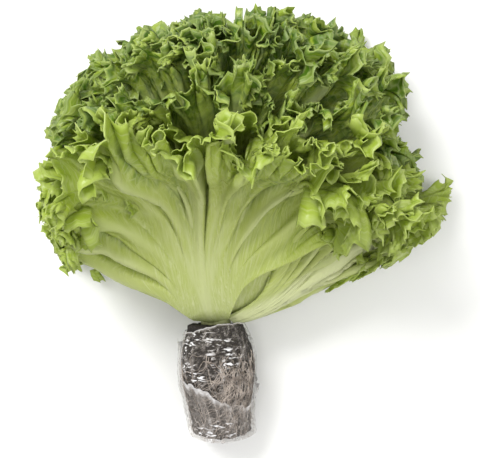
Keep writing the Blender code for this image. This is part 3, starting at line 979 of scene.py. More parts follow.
class Leaf:
    """One leaf: where it sits, how it waves, and the bodies made from that.

    Each kind of vein has a half width and a height.
    """

    COARSE = Grid(4, ((0.34, 2, 8), (0.5, 1, 4), (0.68, 1, 2), (0.85, 1, 1), (1.0, 1, 1)))
    FINE = Grid(80, ((0.30, 4, 16), (0.56, 6, 8), (0.78, 7, 4), (0.93, 7, 2), (1.0, 3, 1)))
    SIMPLE = Grid(64, ((0.30, 2, 16), (0.56, 4, 8), (0.78, 5, 4), (0.93, 5, 2), (1.0, 3, 1)))
    ACROSS = np.linspace(-1, 1, 41)
    MIDDLE, OUTER = 0.35, 0.72
    MIDRIB, BRANCH, TWIG = (4.2, 2.6), (2.2, 1.5), (1.3, 0.9)
    NO_CURL = 0.02
    FIT = 24

    def __init__(self, index: int, count: int, plan: Triple, blade: Blade, cups: Cups, reach: Reach) -> None:
        """Place a leaf in the head.

        Args:
            index: Number of the leaf, heart first.
            count: Number of leaves.
            plan: Direction round the axis, length, and half width of the fan.
            blade: Sizes shared by all leaves.
            cups: Cups that the leaves lie on.
            reach: Outline that the leaf keeps to.
        """
        self.index, self.blade, self.cups, self.reach = index, blade, cups, reach
        inner, outer, power = blade.nesting
        self.openness = ((index + inner) / (count + outer)) ** power
        self.azimuth, self.length, self.fan = math.radians(plan[0]), plan[1], math.radians(plan[2])
        self.seed = index * 7 + 3
        low, high = blade.foot_half
        self.foot = low + (high - low) * self.openness ** 3
        self.start = blade.start[0] + (blade.start[1] - blade.start[0]) * self.openness ** 3
        self.slim, self.stalk, self.side = 1.0, 1.0, 0.0
        self.calm = np.ones(blade.waves)
        self.trim = np.ones(len(self.ACROSS))
        self.over: list[Leaf] = []
        self.fit_reach()

    @property
    def name(self) -> str:
        """Name of the leaf's node in the frame."""
        return f"leaf_{self.index + 1:02d}"

    @property
    def layer(self) -> Layer:
        """Layer that the leaf belongs to."""
        if self.openness > self.OUTER:
            return Layer.OUTER
        return Layer.MIDDLE if self.openness > self.MIDDLE else Layer.HEART

    def uneven(self, x: Array, seed: int, *rates: float) -> Array:
        """The leaf's own ripple."""
        return ripple(x, self.seed + seed, rates)

    def varied(self, about: Pair, x: Array, seed: int, *rates: float) -> Array:
        """A value that varies along the leaf, from its middle and its play."""
        return about[0] + about[1] * self.uneven(x, seed, *rates)

    def flat(self, u: Array | float, v: Array, reach: Array | float) -> tuple[Array, Array]:
        """Point of the leaf laid out flat.

        Args:
            u: Place across the leaf.
            v: Share of the leaf's length.
            reach: Length of the leaf at u.

        Returns:
            Angle round the leaf's root and distance from it.
        """
        slim = self.slim + (1 - self.slim) * ease(0.25, 0.6, v)
        turn = self.fan * u * (1 - self.blade.fan_closed * (1 - v) ** 2) * slim
        across = u * self.foot * (1 - self.blade.foot_taper * v) * slim + reach * v * np.sin(turn)
        out = self.start + reach * v * np.cos(turn)
        return np.arctan2(across, out), np.hypot(across, out)

    def draw(self, u: Array, v: Array, cut: float) -> tuple[Array, Array]:
        """Point of the leaf on its cup.

        Args:
            u: Place across the leaf.
            v: Share of the leaf's length.
            cut: How deeply the margin is cut between its main waves, as a share of the length.

        Returns:
            Direction round the axis and distance from the crown.
        """
        blade = self.blade
        reach = self.length * (1 - blade.side_short * np.abs(u) ** blade.side_power)
        reach = reach * (1 + blade.length_play * self.uneven((u + 1) / 2, 1, 1.1, 2.7, 4.1))
        reach = reach * np.interp(u, self.ACROSS, self.trim)
        reach = reach * (1 - cut * self.openness * (0.5 - 0.5 * np.cos(math.pi * blade.waves * (u + 1))))
        cone = math.sin(max(self.cups.angle(self.openness, self.azimuth), 0.12))
        angle, radius = self.flat(u, v, reach)
        edge_angle, edge_radius = self.flat(1.0, v, self.length * 0.6)
        roll = radius * angle / (self.cups.foot + radius * cone)
        widest = edge_radius * edge_angle / (self.cups.foot + edge_radius * cone)
        limit = math.radians(blade.roll_limit)
        return self.azimuth + roll * np.tanh(widest / limit) * limit / widest, radius

    def covered(self, azimuth: Array, radius: Array) -> Array:
        """How closely outer blades cover points of this leaf: 0 is free, 1 has a blade right over it.

        Args:
            azimuth: Direction round the axis of each point.
            radius: Distance from the crown of each point.

        Returns:
            The cover at each point.
        """
        share = np.zeros_like(azimuth)
        for leaf in self.over:
            turns, radii = leaf.draw(self.ACROSS, np.ones(len(self.ACROSS)), 0.0)
            turn = (azimuth - leaf.azimuth + math.pi) % TURN - math.pi
            limit = np.interp(turn, turns - leaf.azimuth, radii, left=1.0, right=1.0)
            near = math.exp(-((leaf.openness - self.openness) / self.blade.cover_gap) ** 2)
            share = np.maximum(share, near * (1 - ease(*self.blade.cover_edge, radius / limit)))
        return share

    def fit_reach(self) -> None:
        """Shorten the leaf where it would stand out of the head's outline seen from above."""
        for _ in range(3):
            azimuth, radius = self.draw(self.ACROSS, np.ones(len(self.ACROSS)), 0.0)
            excess = self.reach.excess(self.cups.pressed(self.cups.point(self.openness, azimuth, radius)))
            self.trim = self.trim * (1 + np.maximum(excess, 0.2) ** self.FIT) ** (-1 / self.FIT)
        self.keep_inside(None)

    def keep_inside(self, trim: Trim | None) -> None:
        """Shorten the leaf where its waved margin still stands out of the outline.

        Args:
            trim: Fine details, or None for the plain form of the solid.
        """
        for _ in range(4):
            sheet = self.sheet(self.COARSE, trim)
            near = (np.abs(self.ACROSS[:, None] - sheet.u[None, :]) < 0.1) & (sheet.v[None, :] > 0.8)
            worst = np.where(near, self.reach.excess(sheet.points)[None, :], 0).max(axis=1)
            self.trim = self.trim * np.maximum(worst, 1.0) ** -0.7
            wide = np.pad(self.trim, 2, mode="edge")
            self.trim = sum(wide[i:i + len(self.trim)] for i in range(5)) / 5

    def sheet(self, grid: Grid, trim: Trim | None = None) -> Sheet:
        """Middle surface of the leaf, measured from the crown.

        Args:
            grid: How finely it is cut.
            trim: Fine details, or None for the plain form of the solid.

        Returns:
            The sheet.
        """
        blade, waves = self.blade, self.blade.waves
        sheet = Sheet(waves, grid)
        u, v, s = sheet.u, sheet.v, sheet.s
        calm = np.interp(s * waves - 0.5, np.arange(waves), self.calm)
        curl = calm * self.varied(blade.curl, s, 8, 1.3, 2.9, 4.3)
        strip = blade.curl_strip
        if trim:
            calm = np.full_like(s, np.diff(trim.calm)[0] * ease(0.6, 1.0, self.openness) + trim.calm[0])
            curl = (self.varied(trim.curl, s, 8, 1.3, 2.9, 4.3)
                    + trim.curl_play * self.uneven(s, 14, 7.3, 11.9, 17.1))
            strip = trim.curl_strip
        wobble = self.uneven(s, 2, 2.1, 5.3, 8.9) * ease(0.3, 0.8, v) * (1 - u ** 2)
        azimuth, radius = self.draw(u + blade.wobble / waves * wobble, v, blade.cut)
        free = 1 - blade.cover * self.covered(azimuth, radius)
        tip = 1 - blade.cover * self.covered(*self.draw(u, np.ones_like(u), 0.0))
        # Lay the leaf on its cup, with its outer face away from the axis
        sheet.points = self.cups.point(self.openness, azimuth, radius)
        outer = self.cups.point(self.openness, azimuth, radius + 1) - sheet.points
        side = self.cups.point(self.openness, azimuth + 0.01, radius) - sheet.points
        off = np.cross(outer, side)
        off *= -np.sign(off[:, 1:2] + 1e-9)
        if np.mean(np.einsum("ij,ij->i", sheet.normals(), off)) < 0:
            sheet.flip()
        # Curl the margin, then fold the blade slowly
        x = np.clip((v - 1) * self.length / strip + 1, 0, 1)
        curl = curl * tip
        curl = np.where(np.abs(curl) < self.NO_CURL, self.NO_CURL, curl)
        sheet.lift(strip * (1 - np.cos(curl * x)) / curl)
        sheet.points = sheet.points + outer * (strip * (np.sin(curl * x) / curl - x))[:, None]
        slow = self.uneven(s * 1.7 + 0.15 * v, 4, 1.3, 2.1, 3.2)
        sheet.lift(slow * blade.slow_fold * ease(0.35, 1.0, v) * self.length / blade.usual * calm * tip)
        if trim:
            sheet.lift(trim.pleat * self.ridges(sheet))
        # Wave it, lay the head down and keep to the outline
        start = self.varied(blade.wave_start, s, 5, 3.1, 6.7, 9.1)
        growth = np.clip((v - start) / (1 - start), 0, 1) ** 1.1
        share = self.varied(blade.swing_share, s, 6, 2.9, 6.1, 8.3)
        swing = np.clip(math.radians(blade.swing) * share, 0, blade.swing_limit) * growth * calm * free
        sheet.wave(waves, swing, math.pi / 2, *((0.5, 0.5, trim.main_period) if trim else ()))
        if trim:
            self.crimp(sheet, free, trim)
        sheet.points = self.cups.pressed(sheet.points)
        if trim:
            sheet.points = self.reach.kept(sheet.points)
        return sheet

    def ridges(self, sheet: Sheet) -> Array:
        """Broad uneven ridges that spread from the blade's foot, between about -1.5 and 1.5.

        Args:
            sheet: Middle surface of the leaf.

        Returns:
            Height of the ridges.
        """
        u, v, s, count = sheet.u, sheet.v, sheet.s, 0.8 * self.blade.waves
        wander = s + 0.5 / count * self.uneven(s + 0.05 * v, 15, 2.3, 4.7, 7.9) * (1 - u ** 2)
        turn = np.cos(TURN * count * wander)
        own = np.clip(self.varied((0.8, 0.8), s, 16, 3.1, 7.7, 10.3), 0.15, 1.6)
        return own * turn * np.abs(turn) ** 0.5 * ease(0.22, 0.62, v) * (1 - ease(0.74, 0.94, v))

    def jagged(self, sheet: Sheet, trim: Trim) -> Array:
        """Lobes and pointed teeth of the margin.

        Args:
            sheet: Middle surface of the leaf.
            trim: Fine details.

        Returns:
            How far each point moves outwards within the blade.
        """
        s, v, count = sheet.s, sheet.v, self.blade.waves * trim.teeth
        cusp = 1 - np.abs(np.sin(math.pi * count * s)) ** 0.75
        own = np.random.default_rng(self.seed + 40).uniform(*trim.tooth_share, count + 1)
        height = own[np.clip(np.rint(count * s).astype(int), 0, count)]
        return (trim.tooth * cusp * height * ease(trim.tooth_start, 1.0, v)
                + trim.lobe * (self.uneven(s, 3, 31.3, 47.1, 68.7) - 0.4) * ease(0.70, 1.0, v))

    def crimp(self, sheet: Sheet, free: Array, trim: Trim) -> None:
        """Add the small frills that ride on the main waves, the blade's blisters and the teeth.

        Args:
            sheet: Middle surface of the leaf.
            free: 1 where no outer leaf covers the point, less where one does.
            trim: Fine details.
        """
        s, v = sheet.s, sheet.v
        count = self.blade.waves * trim.small_waves
        strength = self.varied(trim.small_share, s, 10, 5.9, 11.1, 17.3)
        growth = np.clip((v - trim.small_start) / (1 - trim.small_start), 0, 1) * free
        swing = np.clip(trim.small_swing * strength, 0, trim.small_limit) * growth
        lag = trim.small_lag * self.uneven(s, 9, 4.9, 9.7, 13.7)
        sheet.wave(count, swing, lag, 0.4, 0.5, trim.small_period)
        strength = self.varied(trim.tiny_share, s, 13, 15.1, 31.3, 47.9)
        swing = np.clip(trim.tiny_swing * ease(trim.tiny_start, 1.0, v) * strength, 0, trim.tiny_limit)
        lag = trim.tiny_lag * self.uneven(s, 12, 14.9, 29.7, 43.7)
        sheet.wave(count * trim.tiny_waves, swing, lag, even=0.5)
        bumps = trim.pucker * lumps(sheet.points, trim.pucker_size, self.seed) * ease(0.25, 0.7, v)
        normal = sheet.normals()
        outward = np.cross(normal, sheet.along()[0])
        n, (before, last) = sheet.rows[-1][1] + 1, sheet.starts[-3:-1]
        grown = sheet.points[last:last + n] - sheet.points[before:before + n]
        if np.einsum("ij,ij->", outward[last:last + n], grown) < 0:
            outward = -outward
        sheet.points = (sheet.points + normal * bumps[:, None]
                        + outward * self.jagged(sheet, trim)[:, None])

    def body(self, extra: float = 0.0) -> Body:
        """Plain closed body, as in the solid.

        Args:
            extra: Added thickness, for gap tests.

        Returns:
            The body.
        """
        blade, sheet = self.blade, self.sheet(self.COARSE)
        u, v = sheet.u, sheet.v
        half = blade.thin + (blade.thick - blade.thin) * (1 - ease(0.0, 0.75, v)) + extra
        across = u * self.foot + self.length * v * np.sin(self.fan * u)
        wide = blade.rib_half[0] + blade.rib_half[1] * (1 - v)
        rib = blade.rib * self.slim * np.exp(-(across / wide) ** 2) * (1 - ease(0.25, 0.9, v))
        return sheet.closed(half / 2 + rib, half / 2)

    def veins(self) -> list[Vein]:
        """Midrib and the veins that fork from it, wide at the foot and finer outwards.

        Returns:
            The veins.
        """
        rng = np.random.default_rng(self.seed + 60)
        made = [Vein(0.0, 0.0, 0.0, *self.MIDRIB)]
        waves = self.blade.waves
        for k in range(1, waves):
            place = 2 * k / waves - 1
            if abs(place) < 0.05:
                continue
            start, parent = 0.05 + 0.16 * abs(place) * rng.uniform(0.6, 1.2), 0.30 * place
            if self.stalk > 1:
                start, parent = 0.15 + 0.35 * abs(place - self.side), self.side
            made.append(Vein(parent, place, start, *self.BRANCH))
            for side in (-1, 1):
                own = place + side * rng.uniform(0.6, 1.0) / waves
                made.append(Vein(place, own, rng.uniform(0.30, 0.5), *self.TWIG))
        return made

    def dressed(self, trim: Trim, grid: Grid) -> Body:
        """Visual body of the leaf, with its share, vein, rim, painted shade and map values; the vein value
        also pales the ridge crests, partly as painted highlight.

        Args:
            trim: Fine details.
            grid: How finely it is cut.

        Returns:
            The closed body.
        """
        blade = self.blade
        self.keep_inside(trim)
        sheet = self.sheet(grid, trim)
        u, v, ridges = sheet.u, sheet.v, self.ridges(sheet)
        half = self.foot + self.length * v * math.sin(self.fan)
        veins = np.max([vein.ridge(sheet, half) for vein in self.veins()], axis=0)
        thickness = trim.blade + (blade.thick - trim.blade) * (1 - ease(0.0, 0.6, v))
        thickness = thickness + (trim.margin - trim.blade) * ease(0.75, 1.0, v)
        course = self.side * ease(0.0, 0.5, v)
        across = (u - course) * self.foot + self.length * v * np.sin(self.fan * (u - course))
        wide = (blade.rib_half[0] + blade.rib_half[1] * (1 - v)) * (0.4 + 0.6 * self.stalk)
        rib = self.stalk * np.exp(-(across / wide) ** 2) * (1 - ease(0.25, 0.8 + 0.1 * self.stalk, v))
        pale = np.clip(veins / 1.2, 0, 1) * (0.65 - 0.2 * v)
        pale = np.maximum(pale, np.clip(1.5 * (self.stalk - 1) * rib, 0, 1))
        # Painted shade: the deep-green share stands for shade on inner leaves under the outer ones and in
        # the grooves between ridges. Ridge crests are paled with the veins, partly rib colour and partly
        # painted highlight.
        values = {"share": v, "vein": np.maximum(pale, trim.ridge_pale_and_highlight * np.clip(ridges, 0, 1)),
                  "rim": ease(trim.rim_start, 1.0, v) * trim.rim_share,
                  "painted_shade": self.layer.value + trim.groove_painted_shade * np.clip(-ridges, 0, 1),
                  "map": np.stack([u * half, self.length * v, np.full(len(u), 40.0 * self.index)], -1)}
        return sheet.closed(thickness / 2 + np.maximum(blade.rib * self.slim * rib, trim.vein * veins),
                            thickness / 2 - 0.15 * veins * (thickness > 0.7), values)


@dataclass
class LeafHead:
    """All leaves, heart first, as (direction round the axis, length, half width of the fan)."""

    plans: tuple[Triple, ...] = (
        (152, 222, 42), (270, 212, 42), (40, 226, 44), (170, 228, 42), (300, 218, 44), (65, 228, 46),
        (200, 222, 46), (2, 224, 46), (128, 206, 48), (250, 200, 46), (35, 216, 50), (175, 215, 48),
        (300, 202, 48), (96, 182, 50), (28, 205, 48), (215, 185, 50), (145, 190, 50), (50, 178, 54),
        (325, 205, 50), (165, 198, 52), (75, 182, 52), (265, 180, 50), (23, 214, 24), (102, 218, 49))
    blade: Blade = field(default_factory=Blade)
    trim: Trim = field(default_factory=Trim)
    cups: Cups = field(default_factory=Cups)
    reach: Reach = field(default_factory=Reach)
    leaves: list[Leaf] = field(default_factory=list)
    shift: Array = field(default_factory=lambda: np.zeros(3))
    stalked: int = 22
    stoutness: float = 2.6
    rib_side: float = -0.12
    rounds: int = 40
    calmer: float = 0.96
    calmest: float = 0.97

    def grow(self) -> None:
        """Lay out the leaves, calm them as in the solids, and find the crown's place."""
        self.leaves = [Leaf(i, len(self.plans), plan, self.blade, self.cups, self.reach)
                       for i, plan in enumerate(self.plans)]
        self.leaves[self.stalked].stalk, self.leaves[self.stalked].side = self.stoutness, self.rib_side
        for leaf in self.leaves:
            leaf.over = [other for other in self.leaves[leaf.index + 1:]
                         if other.openness - leaf.openness < 2.2 * self.blade.cover_gap]
        self.calm()
        gaps = []
        for leaf in self.leaves:
            low, high = (np.array(corner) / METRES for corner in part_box(leaf.name))
            points = leaf.body().points
            gaps += [low - points.min(0), high - points.max(0)]
        self.shift = np.median(gaps, axis=0)
        log.info("crown at %s mm, spread of fit %s mm", self.shift.round(3), np.ptp(gaps, axis=0).round(2))

    def touching(self) -> dict[int, set[int]]:
        """Waves that come within the gap of another leaf or of their own, -1 for a foot.

        Returns:
            The waves by number of the leaf.
        """
        plump = [leaf.body(self.blade.gap) for leaf in self.leaves]
        plain = [leaf.body() for leaf in self.leaves]
        trees, thin = ([BVHTree.FromPolygons(b.points.tolist(), b.tris.tolist()) for b in bodies]
                       for bodies in (plump, plain))
        count, waves = len(self.leaves), self.blade.waves
        pairs = [(i, j, trees[i].overlap(trees[j])) for i in range(count) for j in range(i)]
        pairs += [(i, i, trees[i].overlap(trees[i]) + thin[i].overlap(thin[i])) for i in range(count)]
        sheet = Sheet(waves, Leaf.COARSE)
        found: dict[int, set[int]] = {}
        for i, j, hits in pairs:
            for hit in hits:
                corners = [set(plump[k].tris[tri]) for k, tri in zip((i, j), hit)]
                if i == j and corners[0] & corners[1]:
                    continue
                for k, points in zip((i, j), corners):
                    s, v = (np.mean([at[p % len(at)] for p in points]) for at in (sheet.s, sheet.v))
                    found.setdefault(k, set()).add(int(min(s * waves, waves - 1)) if v > 0.5 else -1)
        return found

    def calm(self) -> None:
        """Calm the waves bit by bit until no two plain bodies touch, as the solids were made."""
        for _ in range(self.rounds):
            found = self.touching()
            if not found:
                return
            for k, waves in found.items():
                if -1 in waves:
                    self.leaves[k].slim *= self.calmer
                for wave in waves - {-1}:
                    self.leaves[k].calm[max(wave - 1, 0):wave + 2] *= self.calmer
                    self.leaves[k].calm[wave] *= self.calmest

    def build(self, finish: LeafFinish) -> None:
        """Make every leaf's visual piece.

        Args:
            finish: Finish of the leaves.
        """
        material = finish.make()
        for leaf in self.leaves:
            body = leaf.dressed(self.trim, Leaf.SIMPLE if leaf.layer is Layer.HEART else Leaf.FINE)
            body.points[:, 2] = np.maximum(body.points[:, 2], -self.shift[2])
            piece = make_piece(f"{leaf.name}_frilled", body, material, self.shift)
            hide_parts(leaf.name)


# Plug, roots, film and stem

@dataclass
class RootPlug:
    """Root plug in its film: peat, the roots on it, the film bag and the stem.

    Directions round the plug are in turns, 0.25 upwards; depths are below the soil's top. The
    profile holds (depth, radius), the waists (height, waves round, run), the spots of painted glints
    (direction, depth, width in turns, run, share of glints) and the tear (direction, depth).
    """

    floor: float
    top: float = 2.5
    length: float = 80.0
    upright_run: float = 30.0
    square_radius: float = 20.0
    profile: tuple[Pair, ...] = (
        (0, 18.5), (4, 20.6), (13, 23.6), (24, 26.0), (35, 26.5), (46, 25.8), (57, 22.9), (68, 21.5),
        (80, 20.8))
    waists: tuple[tuple[float, int, float], ...] = ((0.7, 2, 90.0), (0.5, 3, -70.0), (0.35, 5, 60.0))
    lean: float = 2.4
    hole_radius: float = 11.8
    hole_depth: float = 12.0
    film: float = 0.7
    film_gap: float = 0.8
    film_top: Pair = (-1.5, 5.5)
    film_bite: float = 1.4
    painted_glint_spots: tuple[tuple[float, ...], ...] = (
        (0.30, 17.0, 0.10, 16.0, 3.0), (0.29, 103.0, 0.12, 9.0, 2.6), (0.15, 30.0, 0.08, 22.0, 0.4),
        (0.75, 40.0, 0.2, 30.0, 0.8))
    tear: tuple[Pair, ...] = (
        (0.0, 44), (0.05, 50), (0.13, 54), (0.21, 50), (0.27, 43), (0.35, 37), (0.41, 34), (0.435, 15),
        (0.5, 11), (0.57, 15), (0.62, 34), (0.75, 40), (0.9, 38), (1.0, 44))
    stem_radius: float = 10.2
    stem_foot: float = 8.5
    stem_profile: tuple[Pair, ...] = ((3.0, 11.0), (12.0, 10.4), (24.0, 8.6), (36.0, 5.2), (44.0, 2.2))
    second_turn: float = 1.1
    crease_radius: float = 25.0
    crease_bend: Pair = (2.5, 12.0)
    crease_sizes: Triple = (5.5, 4.5, 2.4)
    crease_power: int = 9
    crease_shift: float = 31.0
    above_floor: float = 0.02
    sides: int = 120
    tilt: float = 0.0

    def __post_init__(self) -> None:
        """Tip the plug until its foot rests on the floor."""
        self.turns = np.arange(self.sides) / self.sides
        low, high = 0.0, math.radians(40)
        depth = np.arange(0.0, self.length + 2.0, 2.0)
        for _ in range(30):
            self.tilt = (low + high) / 2
            lowest = self.wall(depth, self.film_gap + self.film, -math.inf)[..., 2].min()
            low, high = (low, self.tilt) if lowest < self.floor - self.film_bite else (self.tilt, high)

    def centre(self, depth: Array | float) -> Array:
        """Points of the plug's axis, at distances below the crown."""
        way = np.array([math.tan(math.radians(self.lean)), -math.cos(self.tilt), -math.sin(self.tilt)])
        return np.multiply.outer(depth, way)

    def upright(self, depth: Array | float, radius: float, turns: Array) -> Array:
        """Depths round a ring of a radius that make it square to the head's axis near the top."""
        share = np.clip(1 - depth / self.upright_run, 0, 1)
        return depth - radius * np.sin(TURN * turns) * math.tan(self.tilt) * share

    def around(self, depth: Array | float, radius: Array | float, turns: Array) -> Array:
        """Points round the plug's axis.

        Args:
            depth: Distance below the crown of each point.
            radius: Distance from the axis.
            turns: Directions.

        Returns:
            The points.
        """
        a = TURN * turns
        square = np.array([0.0, -math.sin(self.tilt), math.cos(self.tilt)])
        across = np.multiply.outer(radius * np.cos(a), (1.0, 0.0, 0.0))
        return self.centre(depth) + across + np.multiply.outer(radius * np.sin(a), square)

    def surface(self, depth: Array, extra: Array | float, turns: Array) -> Array:
        """Points on or over the soil's side.

        Args:
            depth: Depths of the points.
            extra: Distance over the soil.
            turns: Directions.

        Returns:
            The points.
        """
        low = self.upright(depth, self.square_radius, turns)
        waists = sum(high * np.sin(TURN * (count * turns + low / run) + count)
                     for high, count, run in self.waists)
        radius = sum(np.interp(depth + step, *zip(*self.profile)) for step in (-3, 0, 3)) / 3
        return self.around(self.top + low, radius + waists + extra, turns)

    def wall(self, depth: Array, extra: Array | float, floor: float) -> Array:
        """Rings of points over the soil, flat where the floor is.

        Args:
            depth: Depth of each ring, or of each point of each ring.
            extra: Distance over the soil.
            floor: Lowest height allowed.

        Returns:
            The rings.
        """
        depth = depth if depth.ndim == 2 else depth[:, None] + np.zeros(self.sides)
        rings = self.surface(depth, extra, self.turns)
        rings[..., 2] = np.maximum(rings[..., 2], floor)
        return rings

    def soil_body(self) -> Body:
        """Peat with the stem's hole, crumbly on its side and top.

        Returns:
            The body.
        """
        level, hole = self.floor + self.film + 0.1, self.hole_radius
        mouth = ((self.hole_depth, hole * 0.5), (self.hole_depth, hole), (2.0, hole), (-0.8, hole),
                 (-1.1, hole + 2.5), (-0.6, hole + 4.5))
        rings = [self.around(self.top + self.upright(depth, radius, self.turns), radius, self.turns)
                 for depth, radius in mouth]
        rings += list(self.wall(np.arange(0.3, self.length, 1.0), 0.0, level))
        foot, end = rings[-1], self.centre(self.top + self.length + 1.0)
        rings += [foot * (1 - share) + end * share for share in (0.15, 0.4, 0.7)]
        body = skin(np.array(rings))
        rough = 0.9 * lumps(body.points, 4.2, 3) + 0.5 * lumps(body.points, 1.8, 4) - 0.5
        points = body.points + normals(body.points, body.tris) * rough[:, None]
        points[:, 2] = np.maximum(points[:, 2], level)
        return Body(points, body.tris)

    def crumple(self, depth: Array) -> tuple[Array, Array, Array]:
        """Creases of the film.

        Args:
            depth: Depths of the points of each ring.

        Returns:
            Height over the plug, milky share (partly painted highlight) and share of painted glints at each
            point.
        """
        turns = np.broadcast_to(self.turns, depth.shape)
        around = self.crease_radius * np.stack([np.cos(TURN * turns), np.sin(TURN * turns)], -1)
        places = np.concatenate([around, depth[..., None]], -1).reshape(-1, 3)
        push, lump = self.crease_bend
        bent = places + push * np.stack([lumps(places, lump, k) for k in (11, 12, 13)], -1)
        large, middle, small = self.crease_sizes
        long = 1 - 2 * np.abs(lumps(bent * np.array([1.0, 1.0, 0.45]), large, 14))
        cross = 1 - 2 * np.abs(lumps(bent * np.array([0.6, 0.6, 1.0]), middle, 15))
        fine = 1 - 2 * np.abs(lumps(bent, small, 16))
        low, turn = depth.reshape(-1), turns.reshape(-1)
        height = 0.55 * long + (0.45 + 0.6 * ease(40, 70, low)) * cross + 0.22 * fine
        long, cross = (np.maximum(part, 0) ** self.crease_power for part in (long, cross))
        # Milky creases: partly whitening of the folded film, partly painted highlight where wrinkles would
        # catch the light.
        milky_and_highlight = np.clip(0.8 * long + 0.6 * cross - 0.15, 0, 1)
        # Painted highlight: patches where the painted glints show, gathered round the spots of painted
        # glints.
        spots = np.clip(0.7 + 1.2 * lumps(places, 9.0, 18), 0, 1)
        near = sum(much * np.exp(-((turn - at) / wide) ** 2 - ((low - deep) / run) ** 2)
                   for at, deep, wide, run, much in self.painted_glint_spots)
        return tuple(part.reshape(depth.shape) for part in (height, milky_and_highlight, np.clip(near, 0, 1) * spots))

    def filmy(self, rings: Array, milky_and_highlight: Array, glint: Array, last: bool, end: float) -> Body:
        """Join rings of film, open at the top.

        Args:
            rings: Rings of points.
            milky_and_highlight: Milky share of each point, partly painted highlight.
            glint: Share of painted glints of each point.
            last: Whether the foot is closed.
            end: Milky share, partly painted highlight, and share of painted glints of the points after
                those.

        Returns:
            The body, with its crease value, partly painted highlight, and its painted glint value.
        """
        body = skin(rings, first=False, last=last)
        ends = np.full(len(body.points) - milky_and_highlight.size, end)
        return Body(body.points, body.tris, {"crease": np.append(np.clip(milky_and_highlight, 0, 1), ends),
                                             "glint": np.append(glint, ends)})

    def down_from(self, edge: Array, rings: int, end: float) -> Array:
        """Depths of rings that run evenly from an edge to a distance below the soil."""
        share = np.linspace(0, 1, rings)[:, None]
        return edge[None, :] * (1 - share) + (self.length + end) * share

    def film_body(self) -> Body:
        """Crumpled film bag round the soil, open at the top with a slanting edge.

        Returns:
            The body.
        """
        a, (low, high) = TURN * self.turns, self.film_top
        edge = (low + high) / 2 - 0.8 - (high - low) / 1.7 * np.cos(a - 0.35) + 0.5 * np.sin(3 * a)
        edge = edge + 0.35 * ripple(self.turns, 5, (9.0, 17.0, 31.0))
        depth = self.down_from(edge, rings=100, end=1.0)
        height, milky_and_highlight, glint = self.crumple(depth)
        down = depth - edge[None, :]
        milky_and_highlight = np.maximum(milky_and_highlight, 1.3 * (1 - ease(0.3, 1.2, down)))
        over = self.film_gap + 0.35 + 0.9 * height * ease(0, 6, down + 2)
        rings = list(self.wall(depth, np.maximum(over, 0.15), self.floor + self.above_floor))
        foot = rings[-1]
        for share, drop in ((0.12, 2.0), (0.35, 2.6), (0.6, 2.4), (0.85, 2.0)):
            pleats = 1 + 0.05 * np.sin(9 * a + 6 * share)[:, None]
            ring = foot + (self.centre(self.top + self.length + drop) - foot) * share * pleats
            ring[:, 2] = np.maximum(ring[:, 2], self.floor + self.above_floor)
            rings.append(ring)
        return self.filmy(np.array(rings), milky_and_highlight, glint, True, 0.4)

    def wrap_body(self) -> Body:
        """Second turn of the film over the lower plug, with its torn edge and its loose flap.

        Returns:
            The body.
        """
        turns = self.turns
        edge = np.interp(turns, *zip(*self.tear))
        edge = edge + 1.5 * ripple(turns, 6, (7.0, 15.0, 29.0)) + 0.2 * ripple(turns, 7, (41.0, 57.0))
        depth = self.down_from(edge, rings=60, end=0.5)
        height, milky_and_highlight, glint = self.crumple(depth + self.crease_shift)
        down = depth - edge[None, :]
        loose = np.exp(-((turns - 0.5) / 0.045) ** 2) + np.exp(-(turns / 0.04) ** 2)
        lifted = (1.8 * np.exp(-down / 9) + 0.3) * loose[None, :]
        over = self.film_gap + self.second_turn + 0.9 * height + lifted
        folds = 1 - 2 * np.abs(ripple(turns + 0.0011 * depth, 19, (8.0, 13.0, 21.0)) / 1.3)
        rim = np.clip(0.6 + 0.3 * ripple(turns, 20, (3.0, 7.0, 11.0)), 0.3, 0.9)[None, :]
        milky_and_highlight = 0.08 + 0.4 * milky_and_highlight + 0.42 * np.clip(folds, 0, 1) ** 2 + rim * np.exp(-(down / 5.0) ** 2)
        rings = self.wall(depth, np.maximum(over, 0.6), self.floor + self.above_floor)
        return self.filmy(rings, milky_and_highlight, glint, False, 0.0)

    def stem_body(self) -> Body:
        """Short stem: its foot in the soil's hole, its upper part in the middle of the leaves.

        Returns:
            The body, with its share value.
        """
        a, low = TURN * self.turns, self.top + self.stem_foot
        rings = [np.stack([radius * np.cos(a), np.full_like(a, y), radius * np.sin(a)], -1)
                 for y, radius in reversed(self.stem_profile)]
        rings += [self.around(depth, self.stem_radius * size, self.turns)
                  for depth, size in ((self.top + 1.0, 1.0), (low - 2.5, 1.0), (low, 0.7))]
        body = skin(np.array(rings))
        return Body(body.points, body.tris, {"share": ease(-9.0, 6.0, body.points[:, 1])})

    def build(self, shift: Array) -> None:
        """Make the plug's visual pieces.

        Args:
            shift: The crown's place in the world.
        """
        soil = make_piece("peat_plug", self.soil_body(), PeatFinish().make(), shift)
        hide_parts("root_plug")
        net = make_piece("root_net", RootNet(self).body(), RootFinish().make(), shift)
        clear = FilmFinish().make()
        bag = make_piece("film_bag", self.film_body(), clear, shift)
        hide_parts("film_wrap")
        turn = make_piece("film_second_turn", self.wrap_body(), clear, shift)
        stub = make_piece("stem_stub", self.stem_body(), StemFinish().make(), shift)
        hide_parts("stem")


